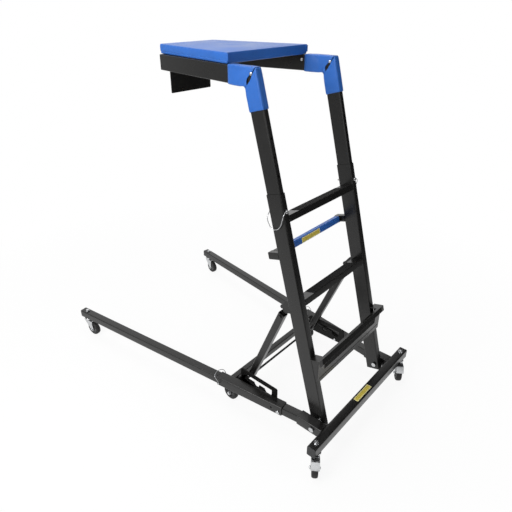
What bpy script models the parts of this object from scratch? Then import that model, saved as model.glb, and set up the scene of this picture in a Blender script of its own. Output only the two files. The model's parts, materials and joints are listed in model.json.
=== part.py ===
"""Topside creeper: a rolling base with splayed legs, a leaning ladder with a
telescoping upper section, and a padded deck to lie on. Metres, +Z up, +Y forward.
Near is the -X side and far is the +X side."""
import math

import bmesh
import bpy
from mathutils import Vector

for stale in list(bpy.data.objects):
    bpy.data.objects.remove(stale, do_unlink=True)

# Clearances
CLEAR = 0.0003
SLIP = 0.0005
TURN = 0.0004
BOLT_PLAY = 0.0005
WELD = 0.0006

# Base tubes
BASE_Z = 0.119
BAR_LENGTH = 0.770
BAR_DEPTH = 0.038
BAR_HEIGHT = 0.045
BAR_WALL = 0.0025
PLUG = 0.004
RAIL = 0.045
RAIL_WALL = 0.003
LEG_WALL = 0.0025
STUB_X = 0.272
KINK_Y = 0.135
SPLAY = math.radians(8.0)
JOINER_END = 0.137
RAIL_START = 0.077
RAIL_END = 0.412
LEG_START = 0.262
LEG_END = 1.3475
LEG_TRAVEL = 0.110
CORNER_R = 0.004

# Casters and wheels
WHEEL_R = 0.038
WHEEL_W = 0.026
CHEEK_GAP = 0.0015
FORK_SHEET = 0.0025
CROWN_GAP = 0.0095
TRAIL = 0.030
CASTER_INSET = 0.035
REAR_TRAIL_ANGLE = math.radians(55.0)
STEM_R = 0.0055
CUP_R = 0.022
NUT_R = 0.009
AXLE_R = 0.004
MID_WHEEL_R = 0.037
MID_WHEEL_LIFT = 0.0025
MID_WHEEL_X = 0.297
MID_WHEEL_Y = 0.504
BRACKET_SHEET = 0.004

# Ladder, laid out along its own leaning line
LEAN = math.radians(15.6)
LADDER_Y = 0.0378
FOOT_ALONG = 0.1237
FOOT_OFF = 0.0105
STILE_X = 0.2264
STILE_W = 0.030
STILE_D = 0.064
STILE_WALL = 0.002
STILE_BOTTOM = 0.098
STILE_TOP = 1.072
UPPER_BOTTOM = 0.700
PIN_ALONG = 1.007
HOLE_PITCH = 0.063
PIN_R = 0.004
WIRE_R = 0.0015
PIN_HEAD_R = 0.008
PIN_HEAD = 0.008
LEG_BAIL_SEAT = 0.0009
LADDER_BAIL_SEAT = 0.0012

# Steps and front bar
STEP_SHEET = 0.003
TOP_STEP_ALONG = 0.990
MIDDLE_STEP_ALONG = 0.6616
STEP_DEPTH = 0.047
STEP_LIP = 0.025
LOW_STEP_ALONG = 0.425
LOW_STEP_REAR = 0.077
LOW_STEP_STRIP = 0.012
LOW_STEP_HALF = 0.250
LOW_STEP_LIP = 0.025
LOW_WEB_BOTTOM = 0.310
LOW_WEB_FLANGE = 0.012
LOW_WEB_SETBACK = 0.002
GUSSET_RISE = 0.004
PEDAL_START = 0.0265
PEDAL_FLAT = 0.046
PEDAL_KNEE = 0.059
PEDAL_KNEE_DROP = 0.0165
PEDAL_TIP = 0.063
PEDAL_TIP_DROP = 0.025
PEDAL_SHEET = 0.0026
FRONT_BAR = 0.028
FRONT_BAR_ALONG = 0.839
FRONT_BAR_OFF = -0.067

# Braces, release rod and notch plates
BRACE_ALONG = 0.583
BRACE_OFF = -0.0877
BRACE_W = 0.027
BRACE_D = 0.030
BRACE_WALL = 0.002
BRACE_END = 0.013
LUG_SHEET = 0.005
ROD_AHEAD = 0.0065
ROD_Y = 0.4255
ROD_Z = 0.1508
ROD_R = 0.005
ROD_HALF = 0.276
PLATE_SHEET = 0.005
PLATE_START = 0.2625
PLATE_END = 0.470
PLATE_LOW = 0.097
PLATE_HIGH = 0.181
PLATE_CORNER = 0.005
SLOT_PLAY = 0.0047
NOTCH_DEPTH = 0.015
NOTCHES = ((0.291, 0.332), (0.363, 0.392))
CROSS_TUBE = 0.028
CROSS_TUBE_Y = 0.493

# Deck
CORNER_Z = 1.406
ARM_TAPER = math.radians(8.9)
ARM_FRONT = 0.984
TURN_IN = 0.050
SLEEVE_SKIN = 0.0031
SLEEVE_LOW = 1.353
DECK_REAR = 0.5423
DECK_FRONT = 0.9955
DECK_REAR_HALF = 0.229
DECK_FRONT_HALF = 0.149
BOARD = 0.008
PAD_EDGE_TOP = 1.472
PAD_CROWN = 0.006
BOARD_INSET = 0.009
DROP_Y = 0.985
DROP_SHEET = 0.004
DROP_HALF = 0.112
DROP_TOP_HALF = 0.126
DROP_BOTTOM = 1.280
DROP_CORNER = 0.004

# Finishes: base colour, roughness, metallic
BLACK = ((0.020, 0.020, 0.021), 0.45, 0.0)
PLASTIC = ((0.016, 0.016, 0.017), 0.55, 0.0)
ZINC = ((0.62, 0.63, 0.64), 0.30, 1.0)
TREAD = ((0.030, 0.030, 0.031), 0.65, 0.0)
BLUE = ((0.020, 0.090, 0.420), 0.50, 0.0)
PLY = ((0.42, 0.30, 0.18), 0.70, 0.0)

LEG = RAIL - 2 * RAIL_WALL - 2 * SLIP
UPPER_W = STILE_W - 2 * STILE_WALL - 2 * SLIP
UPPER_D = STILE_D - 2 * STILE_WALL - 2 * SLIP
CROWN_Z = 2 * WHEEL_R + CROWN_GAP + FORK_SHEET
X = Vector((1.0, 0.0, 0.0))
Y = Vector((0.0, 1.0, 0.0))
Z = Vector((0.0, 0.0, 1.0))
UP_STILE = Vector((0.0, math.sin(LEAN), math.cos(LEAN)))
REAR_STILE = Vector((0.0, -math.cos(LEAN), math.sin(LEAN)))
SIDES = (("near", -1.0), ("far", 1.0))

PARTS = []
CUTTERS = {}
WELDS = {}


def rail_point(s, along, out, z):
    """A point beside the splayed rail of one side."""
    x = STUB_X + along * math.sin(SPLAY) + out * math.cos(SPLAY)
    y = KINK_Y + along * math.cos(SPLAY) - out * math.sin(SPLAY)
    return Vector((s * x, y, z))


def rail_dir(s):
    return Vector((s * math.sin(SPLAY), math.cos(SPLAY), 0.0))


def rail_out(s):
    return Vector((s * math.cos(SPLAY), -math.sin(SPLAY), 0.0))


def stile_point(x, along, off):
    """A point on the leaning ladder, off is to the climber's side."""
    return Vector((x, LADDER_Y, 0.0)) + UP_STILE * along + REAR_STILE * off


def rounded(w, h, r, steps=2):
    points = []
    for cx, cy, first in ((1, 1, 0), (-1, 1, 90), (-1, -1, 180), (1, -1, 270)):
        for i in range(steps + 1):
            a = math.radians(first + 90.0 * i / steps)
            points.append((cx * (w / 2 - r) + r * math.cos(a), cy * (h / 2 - r) + r * math.sin(a)))
    return points


def ring(bm, centre, axis, side, up, shape, normal):
    verts = []
    for a, b in shape:
        q = centre + side * a + up * b
        if normal is not None:
            q = q + axis * ((centre - q).dot(normal) / axis.dot(normal))
        verts.append(bm.verts.new(q))
    return verts


def skin(bm, first, second):
    count = len(first)
    for i in range(count):
        j = (i + 1) % count
        bm.faces.new((first[i], first[j], second[j], second[i]))


def tube(bm, p0, p1, side, w, h, wall, r=CORNER_R, n0=None, n1=None):
    """Hollow rounded tube, its ends square or cut on a plane."""
    axis = (p1 - p0).normalized()
    side = (side - axis * side.dot(axis)).normalized()
    up = axis.cross(side)
    outer = rounded(w, h, r)
    inner = rounded(w - 2 * wall, h - 2 * wall, max(r - wall, 0.001))
    o0 = ring(bm, p0, axis, side, up, outer, n0)
    i0 = ring(bm, p0, axis, side, up, inner, n0)
    o1 = ring(bm, p1, axis, side, up, outer, n1)
    i1 = ring(bm, p1, axis, side, up, inner, n1)
    skin(bm, o0, o1)
    skin(bm, i1, i0)
    skin(bm, i0, o0)
    skin(bm, o1, i1)


def loft(bm, rows):
    """Closed hollow skin through rows that run out along the outside and back inside."""
    for i in range(len(rows)):
        skin(bm, rows[i - 1], rows[i])


def bar(bm, p0, p1, side, w, h, r, steps=2):
    """Solid rounded bar."""
    axis = (p1 - p0).normalized()
    side = (side - axis * side.dot(axis)).normalized()
    up = axis.cross(side)
    shape = rounded(w, h, r, steps)
    a = ring(bm, p0, axis, side, up, shape, None)
    b = ring(bm, p1, axis, side, up, shape, None)
    skin(bm, a, b)
    bm.faces.new(list(reversed(a)))
    bm.faces.new(b)


def prism(bm, points, along):
    a = [bm.verts.new(p) for p in points]
    b = [bm.verts.new(p + along) for p in points]
    skin(bm, a, b)
    bm.faces.new(list(reversed(a)))
    bm.faces.new(b)


def lathe(bm, centre, axis, profile, segments, closed=False):
    """Turn a profile of radius and height pairs about an axis."""
    axis = axis.normalized()
    seed = Z if abs(axis.z) < 0.9 else X
    side = (seed - axis * seed.dot(axis)).normalized()
    up = axis.cross(side)
    rows = []
    for r, t in profile:
        base = centre + axis * t
        if r <= 0.0:
            rows.append([bm.verts.new(base)])
            continue
        row = []
        for i in range(segments):
            a = 2 * math.pi * i / segments
            row.append(bm.verts.new(base + side * (r * math.cos(a)) + up * (r * math.sin(a))))
        rows.append(row)
    pairs = list(zip(rows, rows[1:]))
    if closed:
        pairs.append((rows[-1], rows[0]))
    for a, b in pairs:
        for i in range(segments):
            j = (i + 1) % segments
            if len(a) == 1:
                bm.faces.new((a[0], b[j], b[i]))
            elif len(b) == 1:
                bm.faces.new((a[i], a[j], b[0]))
            else:
                bm.faces.new((a[i], a[j], b[j], b[i]))


def rod(bm, p0, p1, r, segments=12):
    length = (p1 - p0).length
    lathe(bm, p0, p1 - p0, ((0, 0), (r, 0), (r, length), (0, length)), segments)


def bolt(bm, p0, p1, shank, head, head_h, nut, nut_h, seat=WELD):
    """Bolt whose head sits before p0 and whose nut sits past p1, let into both by the seat."""
    length = (p1 - p0).length
    lathe(bm, p0, p1 - p0, (
        (0, -head_h), (head, -head_h), (head, seat), (shank, seat),
        (shank, length - seat), (nut, length - seat), (nut, length + nut_h), (0, length + nut_h)), 12)


def wire(bm, points, r, sides=6):
    """Round wire along a path."""
    rows = []
    up = None
    for i, p in enumerate(points):
        before = points[max(i - 1, 0)]
        after = points[min(i + 1, len(points) - 1)]
        axis = (after - before).normalized()
        if up is None:
            seed = Z if abs(axis.z) < 0.8 else X
            up = seed
        up = (up - axis * up.dot(axis)).normalized()
        side = axis.cross(up)
        row = []
        for k in range(sides):
            a = 2 * math.pi * k / sides
            row.append(bm.verts.new(p + up * (r * math.cos(a)) + side * (r * math.sin(a))))
        rows.append(row)
    for a, b in zip(rows, rows[1:]):
        skin(bm, a, b)
    bm.faces.new(list(reversed(rows[0])))
    bm.faces.new(rows[-1])


def fork(bm, at, outline, half_in, half_out):
    """Bent sheet fork: crown corners first, then the points below the crown."""
    outer = {}
    inner = {}
    for s in (1.0, -1.0):
        outer[s] = [bm.verts.new(at(t, s * half_out, z)) for t, z in outline]
        inner[s] = [bm.verts.new(at(t, s * half_in, z)) for t, z in outline[2:]]
        bm.faces.new(outer[s])
        bm.faces.new(inner[s])
    po, mo, pi, mi = outer[1.0], outer[-1.0], inner[1.0], inner[-1.0]
    bm.faces.new((po[0], mo[0], mo[1], po[1]))
    bm.faces.new((po[1], mo[1], mo[2], mi[0], pi[0], po[2]))
    bm.faces.new((po[0], po[-1], pi[-1], mi[-1], mo[-1], mo[0]))
    bm.faces.new((pi[0], mi[0], mi[-1], pi[-1]))
    for k in range(2, len(outline) - 1):
        bm.faces.new((po[k], po[k + 1], pi[k - 1], pi[k - 2]))
        bm.faces.new((mo[k], mo[k + 1], mi[k - 1], mi[k - 2]))


def fork_outline(t0, t1, top, sheet, axle_t, axle_z, boss, first, last, steps=6):
    points = []
    for i in range(steps + 1):
        a = math.radians(first + (last - first) * i / steps)
        points.append((axle_t + boss * math.cos(a), axle_z + boss * math.sin(a)))
    start, end = points[0], points[-1]
    k = sheet / (top - start[1])
    under_b = (t1 + (start[0] - t1) * k, top - sheet)
    k = sheet / (top - end[1])
    under_a = (t0 + (end[0] - t0) * k, top - sheet)
    return [(t0, top), (t1, top), under_b] + points + [under_a]


def part(name, bm, finish, origin=None, smooth=False):
    PARTS.append((name, bm, finish, origin, smooth))


def cutter(name):
    if name not in CUTTERS:
        CUTTERS[name] = bmesh.new()
    return CUTTERS[name]


def weld(name):
    if name not in WELDS:
        WELDS[name] = bmesh.new()
    return WELDS[name]


# Rear crossbar with its plugs
bm = bmesh.new()
bar_half = BAR_LENGTH / 2
tube_half = bar_half - PLUG - CLEAR
tube(bm, Vector((-tube_half, 0, BASE_Z)), Vector((tube_half, 0, BASE_Z)), Y, BAR_DEPTH, BAR_HEIGHT, BAR_WALL)
part("rear_crossbar", bm, BLACK)
for name, s in SIDES:
    bm = bmesh.new()
    a = Vector((s * (bar_half - PLUG), 0, BASE_Z))
    bar(bm, a, Vector((s * bar_half, 0, BASE_Z)), Y, BAR_DEPTH, BAR_HEIGHT, CORNER_R)
    part(name + "_crossbar_plug", bm, PLASTIC)

# Rear stubs with their splayed joiners, mid rails, front legs
foot_z = stile_point(0, FOOT_ALONG, FOOT_OFF).z
foot_y = stile_point(0, FOOT_ALONG, FOOT_OFF).y
spare_hole = RAIL_START + 0.050
leg_pin = RAIL_END - 0.015
for name, s in SIDES:
    d = rail_dir(s)
    out = rail_out(s)

    # Square stub that steps down to the splayed joiner at the kink
    stub = bmesh.new()
    start = Vector((s * STUB_X, BAR_DEPTH / 2 + CLEAR, BASE_Z))
    kink = Vector((s * STUB_X, KINK_Y, BASE_Z))
    tip = rail_point(s, JOINER_END, 0, BASE_Z)
    side = (X - d * X.dot(d)).normalized()
    big = rounded(RAIL, RAIL, CORNER_R)
    big_in = rounded(RAIL - 2 * RAIL_WALL, RAIL - 2 * RAIL_WALL, 0.001)
    small = rounded(LEG, LEG, CORNER_R)
    small_in = rounded(LEG - 2 * LEG_WALL, LEG - 2 * LEG_WALL, 0.0015)
    loft(stub, (
        ring(stub, start, Y, X, -Z, big, None), ring(stub, kink, Y, X, -Z, big, None),
        ring(stub, kink, d, side, d.cross(side), small, Y), ring(stub, tip, d, side, d.cross(side), small, None),
        ring(stub, tip, d, side, d.cross(side), small_in, None),
        ring(stub, kink - Y * RAIL_WALL, d, side, d.cross(side), small_in, Y),
        ring(stub, kink - Y * RAIL_WALL, Y, X, -Z, big_in, None), ring(stub, start, Y, X, -Z, big_in, None)))
    part(name + "_rear_stub", stub, BLACK)

    rail = bmesh.new()
    tube(rail, rail_point(s, RAIL_START, 0, BASE_Z), rail_point(s, RAIL_END, 0, BASE_Z), X, RAIL, RAIL, RAIL_WALL)
    part(name + "_mid_rail", rail, BLACK)
    rod(cutter(name + "_mid_rail"), rail_point(s, spare_hole, 0.04, BASE_Z), rail_point(s, spare_hole, 0.0205, BASE_Z),
        0.0045)

    # Front leg, closed by a plug at its front end
    leg = bmesh.new()
    rear = rail_point(s, LEG_START, 0, BASE_Z)
    nose = rail_point(s, LEG_END, 0, BASE_Z)
    rows = [ring(leg, nose - d * PLUG, d, side, d.cross(side), small_in, None),
            ring(leg, rear, d, side, d.cross(side), small_in, None),
            ring(leg, rear, d, side, d.cross(side), small, None),
            ring(leg, nose, d, side, d.cross(side), small, None)]
    for a, b in zip(rows, rows[1:]):
        skin(leg, a, b)
    leg.faces.new(rows[0])
    leg.faces.new(rows[-1])
    part(name + "_front_leg", leg, BLACK, rear)

    # Foot bolt across the stub, its spacer and the stile
    stile_out = STILE_X + STILE_W / 2
    stile_in = STILE_X - STILE_W / 2
    stub_out = STUB_X + RAIL / 2
    stub_in = STUB_X - RAIL / 2
    pivot = bmesh.new()
    lathe(pivot, Vector((0, foot_y, foot_z)), X * s, (
        (0, stile_in - CLEAR - 0.008), (0.010, stile_in - CLEAR - 0.008), (0.010, stile_in - CLEAR),
        (0.006, stile_in - CLEAR), (0.006, stile_out + CLEAR), (0.013, stile_out + CLEAR), (0.013, stub_in - CLEAR),
        (0.006, stub_in - CLEAR), (0.006, stub_out + CLEAR), (0.011, stub_out + CLEAR),
        (0.011, stub_out + CLEAR + 0.006), (0, stub_out + CLEAR + 0.007)), 12)
    part(name + "_foot_bolt", pivot, ZINC, Vector((0, foot_y, foot_z)), True)
    for target in (name + "_rear_stub", name + "_lower_stile"):
        rod(cutter(target), Vector((s * (stub_out + 0.02), foot_y, foot_z)), Vector((s * (stile_in - 0.02), foot_y, foot_z)),
            0.006 + BOLT_PLAY)

    # Leg lock pin held in the inner wall, and its wire bail over the rail to the outer side
    deep = RAIL_WALL - CLEAR
    pin = bmesh.new()
    lathe(pin, rail_point(s, leg_pin, -RAIL / 2, BASE_Z), -out,
          ((0, -deep), (PIN_R, -deep), (PIN_R, CLEAR), (PIN_HEAD_R, CLEAR), (PIN_HEAD_R, PIN_HEAD / 2),
           (0.6 * PIN_HEAD_R, PIN_HEAD), (0, PIN_HEAD)), 12)
    part(name + "_leg_lock_pin", pin, ZINC, smooth=True)
    rod(cutter(name + "_mid_rail"), rail_point(s, leg_pin, 0.04, BASE_Z), rail_point(s, leg_pin, -0.04, BASE_Z),
        PIN_R + BOLT_PLAY)
    head_out = -RAIL / 2 - PIN_HEAD / 2
    lift = RAIL / 2 + 0.007
    bail = bmesh.new()
    path = ((0.0, head_out, PIN_HEAD_R + LEG_BAIL_SEAT), (0.006, head_out - 0.002, 0.020), (0.016, head_out + 0.001, lift),
            (0.026, -0.012, lift + 0.003), (0.028, 0.008, lift + 0.003), (0.020, 0.029, lift),
            (0.009, 0.0315, 0.018), (0.001, 0.0305, PIN_R + WIRE_R + 0.001))
    wire(bail, [rail_point(s, leg_pin + a, o, BASE_Z + h) for a, o, h in path], WIRE_R)
    part(name + "_leg_bail", bail, ZINC, rail_point(s, leg_pin, head_out, BASE_Z), True)

# Cross tube between the mid rails
bm = bmesh.new()
cross_shape = rounded(CROSS_TUBE, CROSS_TUBE, 0.003)
cross_inner = rounded(CROSS_TUBE - 2 * BRACE_WALL, CROSS_TUBE - 2 * BRACE_WALL, 0.0015)
rings = []
for s in (-1.0, 1.0):
    centre_out = -RAIL / 2 - CLEAR
    along = (CROSS_TUBE_Y - KINK_Y + centre_out * math.sin(SPLAY)) / math.cos(SPLAY)
    end = rail_point(s, along, centre_out, BASE_Z)
    rings.append((ring(bm, end, X, Y, Z, cross_shape, rail_out(s)), ring(bm, end, X, Y, Z, cross_inner, rail_out(s))))
skin(bm, rings[0][0], rings[1][0])
skin(bm, rings[1][1], rings[0][1])
skin(bm, rings[0][1], rings[0][0])
skin(bm, rings[1][0], rings[1][1])
part("base_cross_tube", bm, BLACK)

# Notch plates that stand fore and aft beside the splayed mid rails, bent out to them at the front
def rail_inner_x(y):
    """Where the inner face of a mid rail stands at one station."""
    along = (y - KINK_Y - RAIL / 2 * math.sin(SPLAY)) / math.cos(SPLAY)
    return STUB_X + along * math.sin(SPLAY) - RAIL / 2 * math.cos(SPLAY)


plate_out = rail_inner_x(PLATE_START) - CLEAR
slot_low = ROD_Z - ROD_R - SLOT_PLAY
slot_high = ROD_Z + ROD_R + SLOT_PLAY
slot_front = ROD_Y + ROD_R + 0.0015
for name, s in SIDES:
    plate = bmesh.new()
    outline = ((PLATE_START, PLATE_LOW), (PLATE_END, PLATE_LOW), (PLATE_END, PLATE_HIGH - PLATE_CORNER),
               (PLATE_END - PLATE_CORNER, PLATE_HIGH), (PLATE_START + PLATE_CORNER, PLATE_HIGH),
               (PLATE_START, PLATE_HIGH - PLATE_CORNER))
    prism(plate, [Vector((s * plate_out, y, z)) for y, z in outline], X * (-s * PLATE_SHEET))
    part(name + "_notch_plate", plate, BLACK)
    y1 = PLATE_END - WELD
    y0 = y1 - PLATE_SHEET
    tab = ((plate_out - WELD, y0), (rail_inner_x(y0) - CLEAR, y0), (rail_inner_x(y1) - CLEAR, y1), (plate_out - WELD, y1))
    prism(weld(name + "_notch_plate"), [Vector((s * a, y, BASE_Z - 0.016)) for a, y in tab], Z * 0.032)
    slot = [(NOTCHES[0][0], slot_high)]
    for first, last in NOTCHES:
        slot += [(first, slot_low), (first + 0.001, slot_low - 0.4 * NOTCH_DEPTH), (first + 0.007, slot_low - NOTCH_DEPTH),
                 (last - 0.009, slot_low - NOTCH_DEPTH), (last - 0.001, slot_low - 0.4 * NOTCH_DEPTH), (last, slot_low)]
    slot += [(slot_front, slot_low), (slot_front, slot_high)]
    prism(cutter(name + "_notch_plate"), [Vector((s * (plate_out + 0.004), y, z)) for y, z in slot],
          X * (-s * (PLATE_SHEET + 0.008)))


# Wheels, forks, swivel stems and brake pedals
def wheel(bm, centre, axis, radius):
    half = WHEEL_W / 2
    bore = AXLE_R + TURN
    profile = ((bore, -half), (0.013, -half), (0.014, -half + 0.004), (radius - 0.011, -half + 0.004),
               (radius - 0.008, -half + 0.001), (radius - 0.003, -half + 0.002), (radius, -half + 0.006),
               (radius, half - 0.006), (radius - 0.003, half - 0.002), (radius - 0.008, half - 0.001),
               (radius - 0.011, half - 0.004), (0.014, half - 0.004), (0.013, half), (bore, half))
    lathe(bm, centre, axis, profile, 20, closed=True)


def stem(bm, x, y, tube_bottom, tube_top):
    """Stem bolt with its nut on top and the bearing cup under the tube."""
    crown_low = CROWN_Z - FORK_SHEET - TURN
    lathe(bm, Vector((x, y, 0)), Z, (
        (0, crown_low - 0.002), (0.009, crown_low - 0.002), (0.009, crown_low), (STEM_R, crown_low),
        (STEM_R, CROWN_Z + TURN), (0.018, CROWN_Z + TURN), (CUP_R, CROWN_Z + 0.003), (CUP_R, tube_bottom - CLEAR),
        (STEM_R, tube_bottom - CLEAR), (STEM_R, tube_top + CLEAR), (NUT_R, tube_top + CLEAR),
        (NUT_R, tube_top + CLEAR + 0.007), (0, tube_top + CLEAR + 0.008)), 12)


half_in = WHEEL_W / 2 + CHEEK_GAP
half_out = half_in + FORK_SHEET
CASTERS = []
bar_low = BASE_Z - BAR_HEIGHT / 2
bar_top = BASE_Z + BAR_HEIGHT / 2
leg_low = BASE_Z - LEG / 2
leg_top = BASE_Z + LEG / 2
caster_along = LEG_END - CASTER_INSET + 0.001
for name, s in SIDES:
    x = s * (bar_half - CASTER_INSET)
    trail = Vector((-math.sin(REAR_TRAIL_ANGLE), -math.cos(REAR_TRAIL_ANGLE), 0.0))
    CASTERS.append((name + "_rear", Vector((x, 0, 0)), trail))
    rear_stem = bmesh.new()
    stem(rear_stem, x, 0, bar_low, bar_top)
    part(name + "_rear_caster_bolt", rear_stem, ZINC, smooth=True)
    rod(cutter("rear_crossbar"), Vector((x, 0, 0.05)), Vector((x, 0, 0.17)), STEM_R + BOLT_PLAY)
    spot = rail_point(s, caster_along, 0, 0)
    CASTERS.append((name + "_front", spot, -rail_dir(s)))
    leg_stem = bmesh.new()
    stem(leg_stem, spot.x, spot.y, leg_low, leg_top)
    part(name + "_leg_caster_bolt", leg_stem, ZINC, rail_point(s, LEG_START, 0, BASE_Z), True)
    rod(cutter(name + "_front_leg"), spot + Z * 0.05, spot + Z * 0.17, STEM_R + BOLT_PLAY)

for name, spot, t_dir in CASTERS:
    u_dir = Z.cross(t_dir)

    def at(t, u, z, spot=spot, t_dir=t_dir, u_dir=u_dir):
        return spot + t_dir * t + u_dir * u + Z * z

    swivel = at(0, 0, CROWN_Z)
    axle = at(TRAIL, 0, WHEEL_R)
    body = bmesh.new()
    fork(body, at, fork_outline(-0.020, 0.036, CROWN_Z, FORK_SHEET, TRAIL, WHEEL_R, 0.011, 30, -170), half_in, half_out)
    part(name + "_caster_fork", body, ZINC, swivel)
    rod(cutter(name + "_caster_fork"), at(0, 0, 0.07), at(0, 0, 0.11), STEM_R + BOLT_PLAY)
    bolt(weld(name + "_caster_fork"), at(TRAIL, -half_out, WHEEL_R), at(TRAIL, half_out, WHEEL_R), AXLE_R,
         0.007, 0.003, 0.007, 0.004)
    tyre = bmesh.new()
    wheel(tyre, axle, u_dir, WHEEL_R)
    part(name + "_caster_wheel", tyre, TREAD, axle, True)
    if "rear" in name:
        base = CROWN_Z + TURN
        sheet = PEDAL_SHEET
        knee_z = base - PEDAL_KNEE_DROP
        tip_z = base - PEDAL_TIP_DROP
        outline = ((PEDAL_START, base), (PEDAL_FLAT, base), (PEDAL_KNEE, knee_z), (PEDAL_TIP, tip_z),
                   (PEDAL_TIP + 0.9 * sheet, tip_z + 0.4 * sheet), (PEDAL_KNEE + 0.8 * sheet, knee_z + 0.7 * sheet),
                   (PEDAL_FLAT + 0.6 * sheet, base + sheet), (PEDAL_START, base + sheet))
        pedal = bmesh.new()
        prism(pedal, [at(t, -half_out, z) for t, z in outline], u_dir * (2 * half_out))
        part(name + "_brake_pedal", pedal, ZINC, at(0.036, 0, base + sheet / 2))

# Mid wheels just clear of the floor, each on an angle bracket under the rail
mid_z = MID_WHEEL_R + MID_WHEEL_LIFT
cheek_x = MID_WHEEL_X - WHEEL_W / 2 - CHEEK_GAP
flange_top = BASE_Z - RAIL / 2 - CLEAR
for name, s in SIDES:
    centre = Vector((s * MID_WHEEL_X, MID_WHEEL_Y, mid_z))
    tyre = bmesh.new()
    wheel(tyre, centre, X, MID_WHEEL_R)
    part(name + "_mid_wheel", tyre, TREAD, centre, True)
    reach = STUB_X + (MID_WHEEL_Y - KINK_Y) * math.tan(SPLAY) + 0.012
    shape = ((cheek_x, mid_z - 0.014), (cheek_x, flange_top - BRACKET_SHEET), (reach, flange_top - BRACKET_SHEET),
             (reach, flange_top), (cheek_x - BRACKET_SHEET, flange_top), (cheek_x - BRACKET_SHEET, mid_z - 0.014))
    bracket = bmesh.new()
    prism(bracket, [Vector((s * a, MID_WHEEL_Y - 0.014, z)) for a, z in shape], Y * 0.028)
    part(name + "_mid_wheel_bracket", bracket, BLACK)
    bolt(weld(name + "_mid_wheel_bracket"), Vector((s * (MID_WHEEL_X + WHEEL_W / 2 + TURN + WELD), MID_WHEEL_Y, mid_z)),
         Vector((s * (cheek_x - BRACKET_SHEET), MID_WHEEL_Y, mid_z)), AXLE_R, 0.0075, 0.005, 0.0075, 0.005)

# Ladder: lower stiles, upper stiles, lock pins with bails
foot = Vector((0, foot_y, foot_z))
corner_along = CORNER_Z / math.cos(LEAN)
mitre = Vector((0, 1 + math.sin(LEAN), math.cos(LEAN))).normalized()
slide_origin = stile_point(0, UPPER_BOTTOM, 0)
arm_tilt = math.tan(ARM_TAPER)


def arm_point(corner, s, y):
    return Vector((corner.x - s * (y - corner.y - TURN_IN) * arm_tilt, y, corner.z))


def bent_rows(bm, corner, s, low_along, front, w, h, wall, r):
    """Rows of one tube that runs up the ladder, turns at the mitre and runs forward."""
    low = stile_point(corner.x, low_along, 0)
    end = arm_point(corner, s, front)
    past = corner + Y * TURN_IN
    arm_dir = (end - past).normalized()
    arm_side = (X - arm_dir * X.dot(arm_dir)).normalized()
    arm_up = arm_dir.cross(arm_side)
    up = UP_STILE.cross(X)
    outer = rounded(w, h, r)
    inner = rounded(w - 2 * wall, h - 2 * wall, max(r - wall, 0.001))
    return (ring(bm, low, UP_STILE, X, up, outer, None), ring(bm, corner, UP_STILE, X, up, outer, mitre),
            ring(bm, past, Y, X, -Z, outer, None), ring(bm, end, arm_dir, arm_side, arm_up, outer, Y),
            ring(bm, end, arm_dir, arm_side, arm_up, inner, Y), ring(bm, past, Y, X, -Z, inner, None),
            ring(bm, corner, UP_STILE, X, up, inner, mitre), ring(bm, low, UP_STILE, X, up, inner, None))


for name, s in SIDES:
    x = s * STILE_X
    lower = bmesh.new()
    tube(lower, stile_point(x, STILE_BOTTOM, 0), stile_point(x, STILE_TOP, 0), X, STILE_W, STILE_D, STILE_WALL)
    part(name + "_lower_stile", lower, BLACK, foot)
    upper = bmesh.new()
    corner = stile_point(x, corner_along, 0)
    loft(upper, bent_rows(upper, corner, s, UPPER_BOTTOM, ARM_FRONT, UPPER_W, UPPER_D, STILE_WALL, 0.0035))
    part(name + "_upper_frame", upper, BLACK, slide_origin)
    for n in range(-2, 5):
        a = PIN_ALONG + n * HOLE_PITCH
        rod(cutter(name + "_upper_frame"), stile_point(x, a, -0.05), stile_point(x, a, 0.05), PIN_R + BOLT_PLAY, 10)
    rod(cutter(name + "_lower_stile"), stile_point(x, PIN_ALONG, -0.05), stile_point(x, PIN_ALONG, 0.05),
        PIN_R + BOLT_PLAY, 10)
    deep = STILE_WALL - CLEAR
    face = STILE_D / 2
    pin = bmesh.new()
    lathe(pin, stile_point(x, PIN_ALONG, face), REAR_STILE,
          ((0, -deep), (PIN_R, -deep), (PIN_R, CLEAR), (PIN_HEAD_R, CLEAR), (PIN_HEAD_R, PIN_HEAD / 2),
           (0.6 * PIN_HEAD_R, PIN_HEAD), (0, PIN_HEAD)), 12)
    part(name + "_ladder_lock_pin", pin, ZINC, foot, True)
    bail = bmesh.new()
    edge = STILE_W / 2
    rear_off = face + PIN_HEAD / 2
    path = ((PIN_HEAD_R + LADDER_BAIL_SEAT, 0.0, rear_off), (edge + 0.005, -0.012, rear_off - 0.001), (edge + 0.007, -0.040, 0.018),
            (edge + 0.007, -0.063, -0.006), (edge + 0.007, -0.044, -0.030), (edge + 0.005, -0.014, -face - 0.008),
            (edge - 0.004, -0.004, -face - 0.009), (PIN_R + WIRE_R + 0.001, 0.0, -face - 0.009))
    wire(bail, [stile_point(x + s * o, PIN_ALONG + a, f) for o, a, f in path], WIRE_R)
    part(name + "_ladder_bail", bail, ZINC, stile_point(x, PIN_ALONG, rear_off), True)

# Steps: folded channels between the stiles, and the wide bottom step behind them
inside = STILE_X - STILE_W / 2 - CLEAR


def channel(bm, half, rear, front, top, lip):
    """Folded channel square to the stiles, its lips down the ladder."""
    t = STEP_SHEET
    shape = ((rear, top), (front, top), (front, top - lip), (front + t, top - lip), (front + t, top - t), (rear - t, top - t),
             (rear - t, top - lip), (rear, top - lip))
    prism(bm, [stile_point(-half, a, off) for off, a in shape], X * (2 * half))


for name, along in (("top_step", TOP_STEP_ALONG), ("middle_step", MIDDLE_STEP_ALONG)):
    bm = bmesh.new()
    channel(bm, inside, STILE_D / 2, STILE_D / 2 - STEP_DEPTH, along, STEP_LIP)
    part(name, bm, BLACK, foot)

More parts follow.
